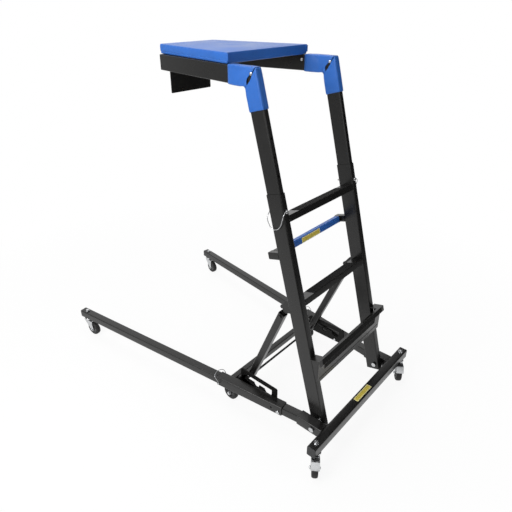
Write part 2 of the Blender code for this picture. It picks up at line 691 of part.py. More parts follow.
bm = bmesh.new()
t = STEP_SHEET
tread_front = STILE_D / 2 + CLEAR
strip_front = LOW_STEP_REAR - LOW_STEP_STRIP
low_under = LOW_STEP_ALONG - t
lip_end = LOW_STEP_ALONG - LOW_STEP_LIP
shape = ((LOW_STEP_REAR, LOW_STEP_ALONG), (tread_front, LOW_STEP_ALONG), (tread_front, low_under),
         (LOW_STEP_REAR - t, low_under), (LOW_STEP_REAR - t, lip_end), (LOW_STEP_REAR, lip_end))
prism(bm, [stile_point(-LOW_STEP_HALF, a, off) for off, a in shape], X * (2 * LOW_STEP_HALF))
part("bottom_step", bm, BLACK, foot)
# The tread keeps its full depth only behind the stiles
shape = ((tread_front - t, low_under - t), (strip_front, low_under - t), (strip_front, LOW_STEP_ALONG + t),
         (tread_front - t, LOW_STEP_ALONG + t))
prism(cutter("bottom_step"), [stile_point(-inside, a, off) for off, a in shape], X * (2 * inside))
# Upright web under the strip, with a flange turned forward along its bottom
bm = weld("bottom_step")
web_front = stile_point(0, LOW_STEP_ALONG, strip_front).y - LOW_WEB_SETBACK
web_rear = web_front - t
web_top = stile_point(0, LOW_STEP_ALONG - t / 2, strip_front + t).z
web_low = LOW_WEB_BOTTOM + t
shape = ((web_rear, web_top), (web_rear, LOW_WEB_BOTTOM), (web_front + LOW_WEB_FLANGE, LOW_WEB_BOTTOM),
         (web_front + LOW_WEB_FLANGE, web_low), (web_front, web_low), (web_front, web_top))
web_half = STILE_X + STILE_W / 2
prism(bm, [Vector((-web_half, y, z)) for y, z in shape], X * (2 * web_half))
# The flange stops at the stiles, and a gusset closes each end between the web and the stile
gusset_front = tread_front + CLEAR
gusset_rear = web_front + CLEAR
gusset_low = web_low + GUSSET_RISE
gusset_top = low_under + WELD
foot_z = stile_point(0, 0, gusset_front).z
low_along = (gusset_low - foot_z) / (stile_point(0, 1, gusset_front).z - foot_z)
top_y = stile_point(0, gusset_top, 0).y
rear_off = (gusset_rear - top_y) / (stile_point(0, gusset_top, 1).y - top_y)
for s in (-1.0, 1.0):
    edge = s * web_half
    prism(bm, [stile_point(edge, gusset_top, rear_off), stile_point(edge, gusset_top, gusset_front),
               stile_point(edge, low_along, gusset_front), Vector((edge, gusset_rear, gusset_low))], X * (-s * t))
    shape = ((web_front, LOW_WEB_BOTTOM - t), (web_front + LOW_WEB_FLANGE + t, LOW_WEB_BOTTOM - t),
             (web_front + LOW_WEB_FLANGE + t, web_low + CLEAR), (web_front, web_low + CLEAR))
    prism(cutter("bottom_step"), [Vector((s * inside, y, z)) for y, z in shape], X * (s * (STILE_W + t)))

# Front bar between two square stubs on the stile fronts
for name, s in SIDES:
    bm = bmesh.new()
    x = s * STILE_X
    a = stile_point(x, FRONT_BAR_ALONG, -STILE_D / 2 - CLEAR)
    bar(bm, a, stile_point(x, FRONT_BAR_ALONG, FRONT_BAR_OFF - FRONT_BAR / 2), X, FRONT_BAR, FRONT_BAR, 0.003)
    part(name + "_front_bar_stub", bm, BLACK, foot)
bm = bmesh.new()
reach = STILE_X - FRONT_BAR / 2 - CLEAR
bar(bm, stile_point(-reach, FRONT_BAR_ALONG, FRONT_BAR_OFF), stile_point(reach, FRONT_BAR_ALONG, FRONT_BAR_OFF), UP_STILE,
    FRONT_BAR, FRONT_BAR, 0.006)
part("front_bar", bm, BLUE, foot)

# Braces from lugs on the stile fronts down to the release rod
brace_top = stile_point(0, BRACE_ALONG, BRACE_OFF)
rod_at = Vector((0, ROD_Y, ROD_Z))
brace_foot = rod_at + Y * ROD_AHEAD
brace_dir = (brace_foot - brace_top).normalized()
lug_face = -STILE_D / 2 - CLEAR
nut_at = BRACE_W / 2 + 2 * CLEAR
LUG_EDGE = ((0.0720, 0.0417), (0.0630, 0.0307), (0.0520, 0.0167), (0.0470, 0.0057), (0.0400, 0.0017), (0.0335, 0.0037),
            (0.0310, 0.0122), (0.0200, 0.0102), (0.0064, -0.0052), (-0.0048, -0.0086), (-0.0102, -0.0014),
            (-0.0054, 0.0072), (0.0061, 0.0134), (0.0105, 0.0193), (0.0150, 0.0357))
for name, s in SIDES:
    shift = Vector((s * STILE_X, 0, 0))
    lug = bmesh.new()
    shape = [(BRACE_ALONG + 0.077, lug_face)] + [(BRACE_ALONG + a, BRACE_OFF + off) for a, off in LUG_EDGE]
    shape.append((BRACE_ALONG + 0.017, lug_face))
    prism(lug, [stile_point(s * (STILE_X - LUG_SHEET / 2), a, off) for a, off in shape], X * (s * LUG_SHEET))
    part(name + "_brace_bracket", lug, BLACK, foot)
    lathe(weld(name + "_brace_bracket"), brace_top + shift, X * s, (
        (0, -nut_at - 0.005), (0.0075, -nut_at - 0.005), (0.0075, -nut_at), (AXLE_R, -nut_at), (AXLE_R, nut_at),
        (0.0075, nut_at), (0.0075, nut_at + 0.005), (0, nut_at + 0.005)), 12)
    brace = bmesh.new()
    tube(brace, brace_top + shift - brace_dir * BRACE_END, brace_foot + shift + brace_dir * 0.014, X, BRACE_W, BRACE_D,
         BRACE_WALL, 0.003)
    part(name + "_brace", brace, BLACK, brace_top)
    across = X * 0.03
    rod(cutter(name + "_brace"), brace_top + shift - across, brace_top + shift + across, AXLE_R + BOLT_PLAY)
    rod(cutter(name + "_brace"), rod_at + shift - across, rod_at + shift + across, ROD_R + CLEAR)
bm = bmesh.new()
rod(bm, rod_at - X * ROD_HALF, rod_at + X * ROD_HALF, ROD_R)
part("release_rod", bm, BLACK, brace_top, True)

# Vinyl sleeves over the upper corners
sleeve_w = UPPER_W + 2 * (SLEEVE_SKIN + TURN)
sleeve_h = UPPER_D + 2 * (SLEEVE_SKIN + TURN)
sleeve_end = DECK_REAR - 0.002
for name, s in SIDES:
    corner = stile_point(s * STILE_X, corner_along, 0)
    sleeve = bmesh.new()
    loft(sleeve, bent_rows(sleeve, corner, s, SLEEVE_LOW, sleeve_end, sleeve_w, sleeve_h, SLEEVE_SKIN, 0.0065))
    part(name + "_corner_sleeve", sleeve, BLUE, slide_origin)


# Deck board, cushion and drop plate
def deck_half(y):
    k = (y - DECK_REAR) / (DECK_FRONT - DECK_REAR)
    return DECK_REAR_HALF + (DECK_FRONT_HALF - DECK_REAR_HALF) * k


def deck_outline(inset, drawn, corner, per_side):
    """Rounded trapezoid whose long edges are drawn in between the corners."""
    y0 = DECK_REAR + inset
    y1 = DECK_FRONT - inset
    w0 = deck_half(y0) - inset
    w1 = deck_half(y1) - inset
    flat = [Vector((-w0, y0, 0)), Vector((w0, y0, 0)), Vector((w1, y1, 0)), Vector((-w1, y1, 0))]
    points = []
    for i in range(4):
        a, b, c = flat[i - 1], flat[i], flat[(i + 1) % 4]
        back = (a - b).normalized()
        ahead = (c - b).normalized()
        half = math.acos(back.dot(ahead)) / 2
        cut = corner / math.tan(half)
        centre = b + (back + ahead).normalized() * (corner / math.sin(half))
        p0 = b + back * cut
        p1 = b + ahead * cut
        for k in range(5):
            mix = p0.lerp(p1, k / 4) - centre
            points.append(centre + mix.normalized() * corner)
        following = (flat[(i + 2) % 4] - c).normalized()
        turn = math.acos((-ahead).dot(following)) / 2
        far_end = c - ahead * (corner / math.tan(turn))
        inward = Vector((-ahead.y, ahead.x, 0))
        for k in range(1, per_side):
            f = k / per_side
            points.append(p1.lerp(far_end, f) + inward * (drawn * 4 * f * (1 - f)))
    return points


board_z = CORNER_Z + UPPER_D / 2 + CLEAR
bm = bmesh.new()
prism(bm, [p + Z * board_z for p in deck_outline(BOARD_INSET, 0.0, 0.016, 2)], Z * BOARD)
part("deck_board", bm, PLY, slide_origin)

bm = bmesh.new()
pad_low = board_z + BOARD + CLEAR
pad_high = PAD_EDGE_TOP
deep = pad_high - pad_low
rows = []
for inset, height in ((0.010, 0.0), (0.003, 0.10 * deep), (0.0, 0.36 * deep), (0.0015, 0.66 * deep), (0.006, 0.87 * deep),
                      (0.015, deep)):
    rows.append([bm.verts.new(p + Z * (pad_low + height)) for p in deck_outline(inset, 0.004, 0.022, 6)])
middle = Vector((0, (DECK_REAR + DECK_FRONT) / 2, 0))
rim = [p.copy() for p in deck_outline(0.015, 0.004, 0.022, 6)]
for k in (0.86, 0.66, 0.40):
    height = pad_high + PAD_CROWN * (1 - k * k)
    rows.append([bm.verts.new(middle + (p - middle) * k + Z * height) for p in rim])
for a, b in zip(rows, rows[1:]):
    skin(bm, a, b)
peak = bm.verts.new(middle + Z * (pad_high + PAD_CROWN))
count = len(rows[-1])
for i in range(count):
    bm.faces.new((rows[-1][i], rows[-1][(i + 1) % count], peak))
bm.faces.new(list(reversed(rows[0])))
part("deck_pad", bm, BLUE, slide_origin, True)

bm = bmesh.new()
arm_low = CORNER_Z - UPPER_D / 2
step_in = arm_low + 0.004
drop_top = board_z - 2 * CLEAR
shape = [(-DROP_TOP_HALF, drop_top), (-DROP_TOP_HALF, step_in), (-DROP_HALF, step_in - 0.012)]
for s, first in ((-1.0, 180), (1.0, 270)):
    for k in range(5):
        a = math.radians(first + 90 * k / 4)
        shape.append((s * (DROP_HALF - DROP_CORNER) + DROP_CORNER * math.cos(a), DROP_BOTTOM + DROP_CORNER * (1 + math.sin(a))))
shape += [(DROP_HALF, step_in - 0.012), (DROP_TOP_HALF, step_in), (DROP_TOP_HALF, drop_top)]
prism(bm, [Vector((x, DROP_Y, z)) for x, z in shape], Y * DROP_SHEET)
part("drop_plate", bm, BLACK, slide_origin)

# Centre everything fore and aft, then make the objects
reach = [v.co.y for entry in PARTS for v in entry[1].verts]
CENTRE_Y = (min(reach) + max(reach)) / 2
SHIFT = Vector((0, -CENTRE_Y, 0))


def finish_mesh(bm, name, smooth):
    bmesh.ops.recalc_face_normals(bm, faces=bm.faces)
    for face in bm.faces:
        face.smooth = smooth
    for edge in bm.edges:
        edge.smooth = not smooth or edge.calc_face_angle(0.0) < math.radians(35)
    mesh = bpy.data.meshes.new(name)
    bm.to_mesh(mesh)
    bm.free()
    return mesh


def material(name, finish):
    colour, rough, metal = finish
    mat = bpy.data.materials.new(name)
    mat.use_nodes = True
    shader = mat.node_tree.nodes["Principled BSDF"]
    shader.inputs["Base Color"].default_value = (*colour, 1.0)
    shader.inputs["Roughness"].default_value = rough
    shader.inputs["Metallic"].default_value = metal
    return mat


for name, bm, finish, origin, smooth in PARTS:
    if origin is None:
        xs = [v.co for v in bm.verts]
        low = Vector((min(c.x for c in xs), min(c.y for c in xs), min(c.z for c in xs)))
        high = Vector((max(c.x for c in xs), max(c.y for c in xs), max(c.z for c in xs)))
        origin = (low + high) / 2
    bmesh.ops.translate(bm, vec=-origin, verts=bm.verts)
    mesh = finish_mesh(bm, name, smooth)
    mesh.materials.append(material(name, finish))
    obj = bpy.data.objects.new(name, mesh)
    obj.location = origin + SHIFT
    bpy.context.scene.collection.objects.link(obj)
    for store, operation in ((WELDS, "UNION"), (CUTTERS, "DIFFERENCE")):
        if name in store:
            helper = name + "_" + operation.lower()
            tool = bpy.data.objects.new(helper, finish_mesh(store[name], helper, False))
            tool.location = SHIFT
            tool.hide_render = True
            tool.display_type = "WIRE"
            bpy.context.scene.collection.objects.link(tool)
            change = obj.modifiers.new(operation.lower(), "BOOLEAN")
            change.operation = operation
            change.solver = "EXACT"
            change.object = tool
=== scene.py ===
"""Topside creeper in the studio: satin black tubes, zinc casters and a blue vinyl deck."""

import json
import math

import bmesh
import bpy
from mathutils import Matrix, Vector


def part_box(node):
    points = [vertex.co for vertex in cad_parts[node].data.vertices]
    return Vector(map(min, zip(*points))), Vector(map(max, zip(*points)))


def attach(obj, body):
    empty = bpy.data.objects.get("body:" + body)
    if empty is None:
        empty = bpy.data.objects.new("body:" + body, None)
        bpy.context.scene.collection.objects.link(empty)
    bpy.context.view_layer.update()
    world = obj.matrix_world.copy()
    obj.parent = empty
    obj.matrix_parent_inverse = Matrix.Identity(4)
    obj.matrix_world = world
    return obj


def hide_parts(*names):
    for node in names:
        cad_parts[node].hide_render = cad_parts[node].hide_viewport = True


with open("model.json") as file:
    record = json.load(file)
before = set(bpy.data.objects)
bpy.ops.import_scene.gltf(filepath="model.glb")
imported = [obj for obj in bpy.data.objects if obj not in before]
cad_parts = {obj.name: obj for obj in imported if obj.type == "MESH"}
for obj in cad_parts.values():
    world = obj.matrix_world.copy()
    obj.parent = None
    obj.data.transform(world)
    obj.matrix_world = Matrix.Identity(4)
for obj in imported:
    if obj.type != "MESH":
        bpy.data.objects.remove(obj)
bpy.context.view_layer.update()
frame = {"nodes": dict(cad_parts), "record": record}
cad_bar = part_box("rear_crossbar")

scene = bpy.context.scene
scene.view_settings.view_transform = "Standard"
HOME = {node: body for body, nodes in frame["record"]["behaviour"]["bodies"].items() for node in nodes}
SIDES = (("near", -1.0), ("far", 1.0))
X, Y, Z = Vector((1, 0, 0)), Vector((0, 1, 0)), Vector((0, 0, 1))

# Base, in metres: fore and aft places are from the middle of the rear crossbar
CENTRE = -(cad_bar[0].y + cad_bar[1].y) / 2
BASE_Z = 0.119
TUBE_HALF, LEG_HALF = 0.0225, 0.0190
RAIL_X, RAIL_Y = 0.272, 0.135
SPLAY = math.radians(8.0)
LEG_END = 1.3476
LEG_PIN = 0.397
JOINER, JOINER_Z, SPARE_BORE = 0.094, 0.110, 0.127
NOTCH_PLATE_X, NOTCH_PLATE_Z = 0.2619, 0.104
NOTCH_PLATE_BOLTS = (0.312, 0.452)

# Ladder: places along it are from the floor, and off it to the climber's side
STILE_X, STILE_FOOT_Y = 0.2264, 0.0378
LEAN = math.radians(15.6)
UP = Vector((0.0, math.sin(LEAN), math.cos(LEAN)))
REAR = Vector((0.0, -math.cos(LEAN), math.sin(LEAN)))
LADDER_PIN = 1.007
FRONT_BAR_ALONG, FRONT_BAR_OFF = 0.839, -0.067
FRONT_BAR_HALF, FRONT_BAR_FACE = 0.2121, 0.0140
LOW_STEP_WEB_Y, LOW_STEP_WIDTH = 0.08447, 0.461

# Upper section
CORNER_Z = 1.406
CORNER_ALONG = CORNER_Z / math.cos(LEAN)
UPPER_HALF = 0.0125
ARM_START = 0.050
ARM_ANGLE = math.radians(8.9)
ARM_BOLTS = (0.553, 0.930)
PAD_REAR, PAD_FRONT = 0.5423 - CENTRE, 0.9955 - CENTRE
PAD_REAR_HALF, PAD_FRONT_HALF = 0.2275, 0.1480
PAD_LOW, PAD_TOP = 1.4441, 1.4722

# A flat piece on a tube stands off it by this much
STANDOFF = 0.00005


def on_rail(s, along, out, z):
    """A point beside the splayed rail of one side."""
    x = RAIL_X + along * math.sin(SPLAY) + out * math.cos(SPLAY)
    y = RAIL_Y + along * math.cos(SPLAY) - out * math.sin(SPLAY)
    return Vector((s * x, y - CENTRE, z))


def rail_out(s):
    return Vector((s * math.cos(SPLAY), -math.sin(SPLAY), 0.0))


def rail_dir(s):
    return Vector((s * math.sin(SPLAY), math.cos(SPLAY), 0.0))


def on_stile(x, along, off):
    """A point on the leaning ladder."""
    return Vector((x, STILE_FOOT_Y - CENTRE, 0.0)) + UP * along + REAR * off


def corner_of(s):
    """The mitre where an upper stile turns forward and becomes a deck arm."""
    return on_stile(s * STILE_X, CORNER_ALONG, 0.0)


def middle(node):
    low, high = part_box(node)
    return (low + high) / 2


# Camera at the photograph's angle
camera = bpy.data.objects.new("camera", bpy.data.cameras.new("camera"))
camera.data.lens = 32.79
camera.data.sensor_width = 36.0
camera.data.clip_end = 60.0
camera.location = (-1.4176, -0.6307 - CENTRE, 1.6216)
camera.rotation_euler = (math.radians(61.3), 0.0, math.radians(-48.7))
scene.collection.objects.link(camera)
scene.camera = camera


# Shader building blocks
def add(tree, kind, values=None, **settings):
    """A node with its settings, and its sockets filled by values or links."""
    node = tree.nodes.new(kind)
    for key, value in settings.items():
        setattr(node, key, value)
    for key, value in (values or {}).items():
        if isinstance(value, bpy.types.NodeSocket):
            tree.links.new(value, node.inputs[key])
        else:
            node.inputs[key].default_value = value
    return node


def object_place(tree):
    return add(tree, "ShaderNodeTexCoord").outputs["Object"]


def noise(tree, place, scale, detail, rough=0.5):
    values = {"Vector": place, "Scale": scale, "Detail": detail, "Roughness": rough}
    return add(tree, "ShaderNodeTexNoise", values).outputs


def maths(tree, operation, a, b=0.0):
    return add(tree, "ShaderNodeMath", {0: a, 1: b}, operation=operation).outputs[0]


def vector_maths(tree, operation, a, b, result="Vector"):
    return add(tree, "ShaderNodeVectorMath", {0: a, 1: b}, operation=operation).outputs[result]


def spread(tree, value, low, high, to_low, to_high):
    """A value's range laid over another one, and held at its ends."""
    values = {"Value": value, "From Min": low, "From Max": high, "To Min": to_low, "To Max": to_high}
    return add(tree, "ShaderNodeMapRange", values).outputs["Result"]


def blend_value(tree, share, first, second):
    """A number part way between two."""
    values = {"Factor": share, "A": first, "B": second}
    return add(tree, "ShaderNodeMix", values, data_type="FLOAT").outputs["Result"]


def blend(tree, share, first, second, kind="MIX"):
    """A colour part way between two; its sockets go by number, since their names repeat."""
    values = {0: share, 6: first, 7: second}
    return add(tree, "ShaderNodeMix", values, data_type="RGBA", blend_type=kind).outputs[2]


def new_group(name, inputs, outputs):
    tree = bpy.data.node_groups.new(name, "ShaderNodeTree")
    for label, value in inputs:
        socket = tree.interface.new_socket(label, in_out="INPUT", socket_type="NodeSocketFloat")
        socket.default_value = value
    for label in outputs:
        tree.interface.new_socket(label, in_out="OUTPUT", socket_type="NodeSocketFloat")
    return tree, tree.nodes.new("NodeGroupInput").outputs, tree.nodes.new("NodeGroupOutput")


def give(tree, out, **values):
    for label, value in values.items():
        tree.links.new(value, out.inputs[label])


def use(tree, group, **values):
    return add(tree, "ShaderNodeGroup", values, node_tree=group).outputs


# Skins, wear and dust that the finishes share
def coat_skin_group():
    """Fine orange peel of a baked coat, with slow drift in tone and gloss."""
    inputs = (("Scale", 700.0), ("Drift", 0.15))
    tree, given, out = new_group("coat_skin", inputs, ("Height", "Tone", "Gloss"))
    place = object_place(tree)
    peel = noise(tree, place, given["Scale"], 2.0)["Fac"]
    broad = noise(tree, place, 6.0, 4.0, 0.6)["Fac"]
    speck = noise(tree, place, 260.0, 1.0)["Fac"]
    drift = spread(tree, broad, 0.3, 0.7, -1.0, 1.0)
    tone = maths(tree, "ADD", maths(tree, "MULTIPLY", drift, given["Drift"]), 1.0)
    tone = maths(tree, "MULTIPLY", tone, spread(tree, speck, 0.35, 0.65, 0.93, 1.07))
    give(tree, out, Height=peel, Tone=tone, Gloss=spread(tree, broad, 0.25, 0.75, 0.0, 1.0))
    return tree


def edge_rub_group():
    """Where an edge has been handled: a broken line along corners."""
    inputs = (("Width", 0.0012), ("Amount", 0.5), ("Scale", 60.0))
    tree, given, out = new_group("edge_rub", inputs, ("Mask",))
    soft = add(tree, "ShaderNodeBevel", {"Radius": given["Width"]}, samples=4).outputs["Normal"]
    flat = add(tree, "ShaderNodeNewGeometry").outputs["Normal"]
    edge = spread(tree, vector_maths(tree, "DOT_PRODUCT", soft, flat, "Value"), 0.99, 0.86, 0.0, 1.0)
    broken = noise(tree, object_place(tree), given["Scale"], 4.0)["Fac"]
    mask = maths(tree, "MULTIPLY", edge, spread(tree, broken, 0.42, 0.66, 0.0, 1.0))
    give(tree, out, Mask=maths(tree, "MULTIPLY", mask, given["Amount"]))
    return tree


def settled_dust_group():
    """Thin dust on what faces up."""
    inputs = (("Amount", 0.1), ("Scale", 18.0))
    tree, given, out = new_group("settled_dust", inputs, ("Mask",))
    normal = add(tree, "ShaderNodeNewGeometry").outputs["Normal"]
    up = add(tree, "ShaderNodeSeparateXYZ", {0: normal}).outputs["Z"]
    cloud = noise(tree, object_place(tree), given["Scale"], 6.0, 0.65)["Fac"]
    mask = maths(tree, "MULTIPLY", spread(tree, up, 0.3, 1.0, 0.0, 1.0),
                 spread(tree, cloud, 0.4, 0.75, 0.0, 1.0))
    give(tree, out, Mask=maths(tree, "MULTIPLY", mask, given["Amount"]))
    return tree


def vinyl_grain_group():
    """Pebbled grain of coated cloth, its creases painted darker as shade, over soft folds that are far
    deeper than it.
    """
    inputs = (("Scale", 620.0), ("Drift", 0.10))
    tree, given, out = new_group("vinyl_grain", inputs, ("Height", "Tone", "Gloss"))
    place = object_place(tree)
    warp = noise(tree, place, 240.0, 2.0)["Color"]
    moved = add(tree, "ShaderNodeVectorMath", {0: warp, 3: 0.0016}, operation="SCALE").outputs[0]
    bent = vector_maths(tree, "ADD", place, moved)
    pebble = add(tree, "ShaderNodeTexVoronoi", {"Vector": bent, "Scale": given["Scale"]},
                 feature="DISTANCE_TO_EDGE").outputs["Distance"]
    crease = spread(tree, pebble, 0.0, 0.16, 0.0, 1.0)
    broad = noise(tree, place, 9.0, 4.0)["Fac"]
    drift = maths(tree, "MULTIPLY", spread(tree, broad, 0.3, 0.7, -1.0, 1.0), given["Drift"])
    # The tone darkens in the grain's creases: painted shade
    tone = maths(tree, "MULTIPLY", maths(tree, "ADD", drift, 1.0),
                 spread(tree, crease, 0.0, 1.0, 0.82, 1.0))
    folds = noise(tree, place, 22.0, 2.0)["Fac"]
    height = maths(tree, "ADD", crease, maths(tree, "MULTIPLY", folds, 9.0))
    give(tree, out, Height=height, Tone=tone, Gloss=spread(tree, broad, 0.3, 0.7, 0.0, 1.0))
    return tree


def zinc_bloom_group():
    """Plated steel: fine drawing lines and cloudy bloom."""
    inputs = (("Scale", 90.0), ("Drift", 0.2))
    tree, given, out = new_group("zinc_bloom", inputs, ("Height", "Tone", "Gloss"))
    place = object_place(tree)
    lines = noise(tree, vector_maths(tree, "MULTIPLY", place, (1.0, 1.0, 0.06)), 1500.0, 3.0)["Fac"]
    cloud = noise(tree, place, given["Scale"], 5.0)["Fac"]
    drift = maths(tree, "MULTIPLY", spread(tree, cloud, 0.3, 0.7, -1.0, 0.6), given["Drift"])
    tone = maths(tree, "MULTIPLY", maths(tree, "ADD", drift, 1.0),
                 spread(tree, lines, 0.3, 0.7, 0.92, 1.05))
    give(tree, out, Height=lines, Tone=tone, Gloss=spread(tree, cloud, 0.3, 0.7, 0.0, 1.0))
    return tree


COAT_SKIN, EDGE_RUB, DUST = coat_skin_group(), edge_rub_group(), settled_dust_group()
VINYL_GRAIN, ZINC_BLOOM = vinyl_grain_group(), zinc_bloom_group()
DUST_COLOUR = (0.34, 0.33, 0.31, 1.0)


# Finishes
def new_material(name):
    made = bpy.data.materials.new(name)
    made.use_nodes = True
    return made, made.node_tree, made.node_tree.nodes["Principled BSDF"].inputs


def finish(name, group, colour, rough, relief, worn=None, rub=0.0, rub_width=0.0012, dust=0.0,
           metallic=0.0, specular=0.5, sheen=0.0, **grain):
    """A surface from one skin group, with rubbed edges and dust over it."""
    made, tree, sockets = new_material(name)
    skin = use(tree, group, **grain)
    shade = blend(tree, 1.0, (*colour, 1.0), skin["Tone"], "MULTIPLY")
    gloss = spread(tree, skin["Gloss"], 0.0, 1.0, *rough)
    if rub:
        mask = use(tree, EDGE_RUB, Width=rub_width, Amount=rub)["Mask"]
        shade = blend(tree, mask, shade, (*worn, 1.0))
    if dust:
        mask = use(tree, DUST, Amount=dust)["Mask"]
        shade = blend(tree, mask, shade, DUST_COLOUR)
        gloss = maths(tree, "ADD", gloss, maths(tree, "MULTIPLY", mask, 0.5))
    bump = add(tree, "ShaderNodeBump", {"Height": skin["Height"], "Distance": relief, "Strength": 1.0})
    tree.links.new(shade, sockets["Base Color"])
    tree.links.new(gloss, sockets["Roughness"])
    tree.links.new(bump.outputs["Normal"], sockets["Normal"])
    sockets["Metallic"].default_value = metallic
    sockets["Specular IOR Level"].default_value = specular
    sockets["Sheen Weight"].default_value = sheen
    return made


def plywood_finish():
    made, tree, sockets = new_material("deck_plywood")
    drawn = vector_maths(tree, "MULTIPLY", object_place(tree), (14.0, 1.2, 90.0))
    grain = noise(tree, drawn, 3.0, 7.0, 0.6)["Fac"]
    pores = noise(tree, drawn, 26.0, 2.0)["Fac"]
    shade = blend(tree, spread(tree, grain, 0.35, 0.65, 0.0, 1.0),
                  (0.36, 0.23, 0.12, 1.0), (0.55, 0.39, 0.23, 1.0))
    shade = blend(tree, spread(tree, pores, 0.58, 0.7, 0.0, 0.5), shade, (0.20, 0.12, 0.06, 1.0))
    bump = add(tree, "ShaderNodeBump", {"Height": pores, "Distance": 0.0002})
    tree.links.new(shade, sockets["Base Color"])
    tree.links.new(spread(tree, grain, 0.3, 0.7, 0.6, 0.75), sockets["Roughness"])
    tree.links.new(bump.outputs["Normal"], sockets["Normal"])
    return made


BLACK = finish("black_powder_coat", COAT_SKIN, (0.0060, 0.0058, 0.0055), (0.24, 0.34), 0.00005,
               worn=(0.07, 0.068, 0.066), rub=0.25, Scale=800.0, Drift=0.14)
GRIP = finish("grip_tape", COAT_SKIN, (0.007, 0.0069, 0.0066), (0.80, 0.95), 0.00030,
              specular=0.2, Scale=420.0, Drift=0.22)
# A matt copy of the black coat for the notch plates; its darker colour is painted shade for the shade they
# sit in
SHADED_MATT_PLATE = finish("matt_black_plate_painted_shade", COAT_SKIN, (0.0045, 0.0044, 0.0042), (0.50, 0.62), 0.00006,
                    worn=(0.05, 0.05, 0.048), rub=0.2, specular=0.16, Scale=800.0, Drift=0.14)
PLASTIC = finish("black_moulded_plastic", COAT_SKIN, (0.016, 0.0165, 0.018), (0.42, 0.58), 0.00008,
                 worn=(0.09, 0.09, 0.09), rub=0.3, dust=0.06, Scale=1100.0, Drift=0.10)
RUBBER = finish("black_tread", COAT_SKIN, (0.018, 0.018, 0.018), (0.55, 0.75), 0.00010,
                worn=(0.10, 0.10, 0.095), rub=0.4, dust=0.10, specular=0.35, Scale=500.0, Drift=0.25)
HUB = finish("grey_hub_plastic", COAT_SKIN, (0.050, 0.051, 0.053), (0.35, 0.5), 0.00005,
             worn=(0.14, 0.14, 0.145), rub=0.3, dust=0.05, Scale=900.0, Drift=0.08)
ZINC = finish("zinc_plate", ZINC_BLOOM, (0.60, 0.61, 0.62), (0.18, 0.36), 0.00002,
              worn=(0.80, 0.80, 0.81), rub=0.4, metallic=1.0, Scale=90.0, Drift=0.18)
VINYL = finish("blue_vinyl", VINYL_GRAIN, (0.012, 0.118, 0.470), (0.34, 0.46), 0.00010,
               worn=(0.05, 0.20, 0.56), rub=0.25, rub_width=0.003, dust=0.01, specular=0.48, sheen=0.03,
               Scale=620.0, Drift=0.08)
YELLOW = finish("yellow_reflective", COAT_SKIN, (0.66, 0.53, 0.085), (0.30, 0.40), 0.00003,
                Scale=900.0, Drift=0.06)
BORDER = finish("pale_yellow_border", COAT_SKIN, (0.80, 0.74, 0.36), (0.30, 0.40), 0.00003,
                Scale=900.0, Drift=0.05)
# A flat dark finish for painted shade: the shade inside an open bore, and the shade in a groove across the
# bottom step
SHADOW = finish("painted_shade_flat", COAT_SKIN, (0.006, 0.006, 0.006), (0.80, 0.95), 0.00003,
                specular=0.1, Scale=900.0, Drift=0.10)
WOOD = plywood_finish()


# Mesh building blocks
def piece(name, bm, surface, body, stands_for=(), sharp=40.0, even=True):
    """One named piece, riding on its body."""
    mesh = bpy.data.meshes.new(name)
    bm.to_mesh(mesh)
    bm.free()
    mesh.shade_smooth()
    mesh.set_sharp_from_angle(angle=math.radians(sharp))
    mesh.materials.append(surface)
    obj = bpy.data.objects.new(name, mesh)
    scene.collection.objects.link(obj)
    if even:
        obj.modifiers.new("even_shading", "WEIGHTED_NORMAL").keep_sharp = True
    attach(obj, body)
    if stands_for:
        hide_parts(*stands_for)
    return obj


def merge(bm, other):
    """Moves one shape into another."""
    mesh = bpy.data.meshes.new("shape")
    other.to_mesh(mesh)
    other.free()
    bm.from_mesh(mesh)
    bpy.data.meshes.remove(mesh)


def applied(obj):
    """The object's mesh with its modifiers applied, or its curve made solid."""
    return bpy.data.meshes.new_from_object(obj.evaluated_get(bpy.context.evaluated_depsgraph_get()))


def ease(bm, geom, offset, segments=2, affect="EDGES", clamp_overlap=False):
    """Rounds edges, or the corners of a flat sheet."""
    bmesh.ops.bevel(bm, geom=geom, offset=offset, affect=affect, segments=segments, profile=0.5,
                    material=-1, clamp_overlap=clamp_overlap)


def facing(at, axis):
    """Puts +Z along an axis at a point."""
    return Matrix.Translation(at) @ axis.to_track_quat("Z", "Y").to_matrix().to_4x4()


def turned(bm, at, axis, profile, steps, closed=False):
    """A turned shape: radius and height along the axis."""
    shape = bmesh.new()
    verts = [shape.verts.new((r, 0.0, h)) for r, h in profile]
    edges = [shape.edges.new(pair) for pair in zip(verts, verts[1:])]
    if closed:
        edges.append(shape.edges.new((verts[-1], verts[0])))
    bmesh.ops.spin(shape, geom=verts + edges, cent=(0, 0, 0), axis=(0, 0, 1), angle=2 * math.pi, steps=steps,
                   use_merge=True, use_duplicate=False)
    bmesh.ops.remove_doubles(shape, verts=shape.verts, dist=1e-6)
    bmesh.ops.recalc_face_normals(shape, faces=shape.faces)
    bmesh.ops.transform(shape, matrix=facing(at, axis), verts=shape.verts)
    merge(bm, shape)


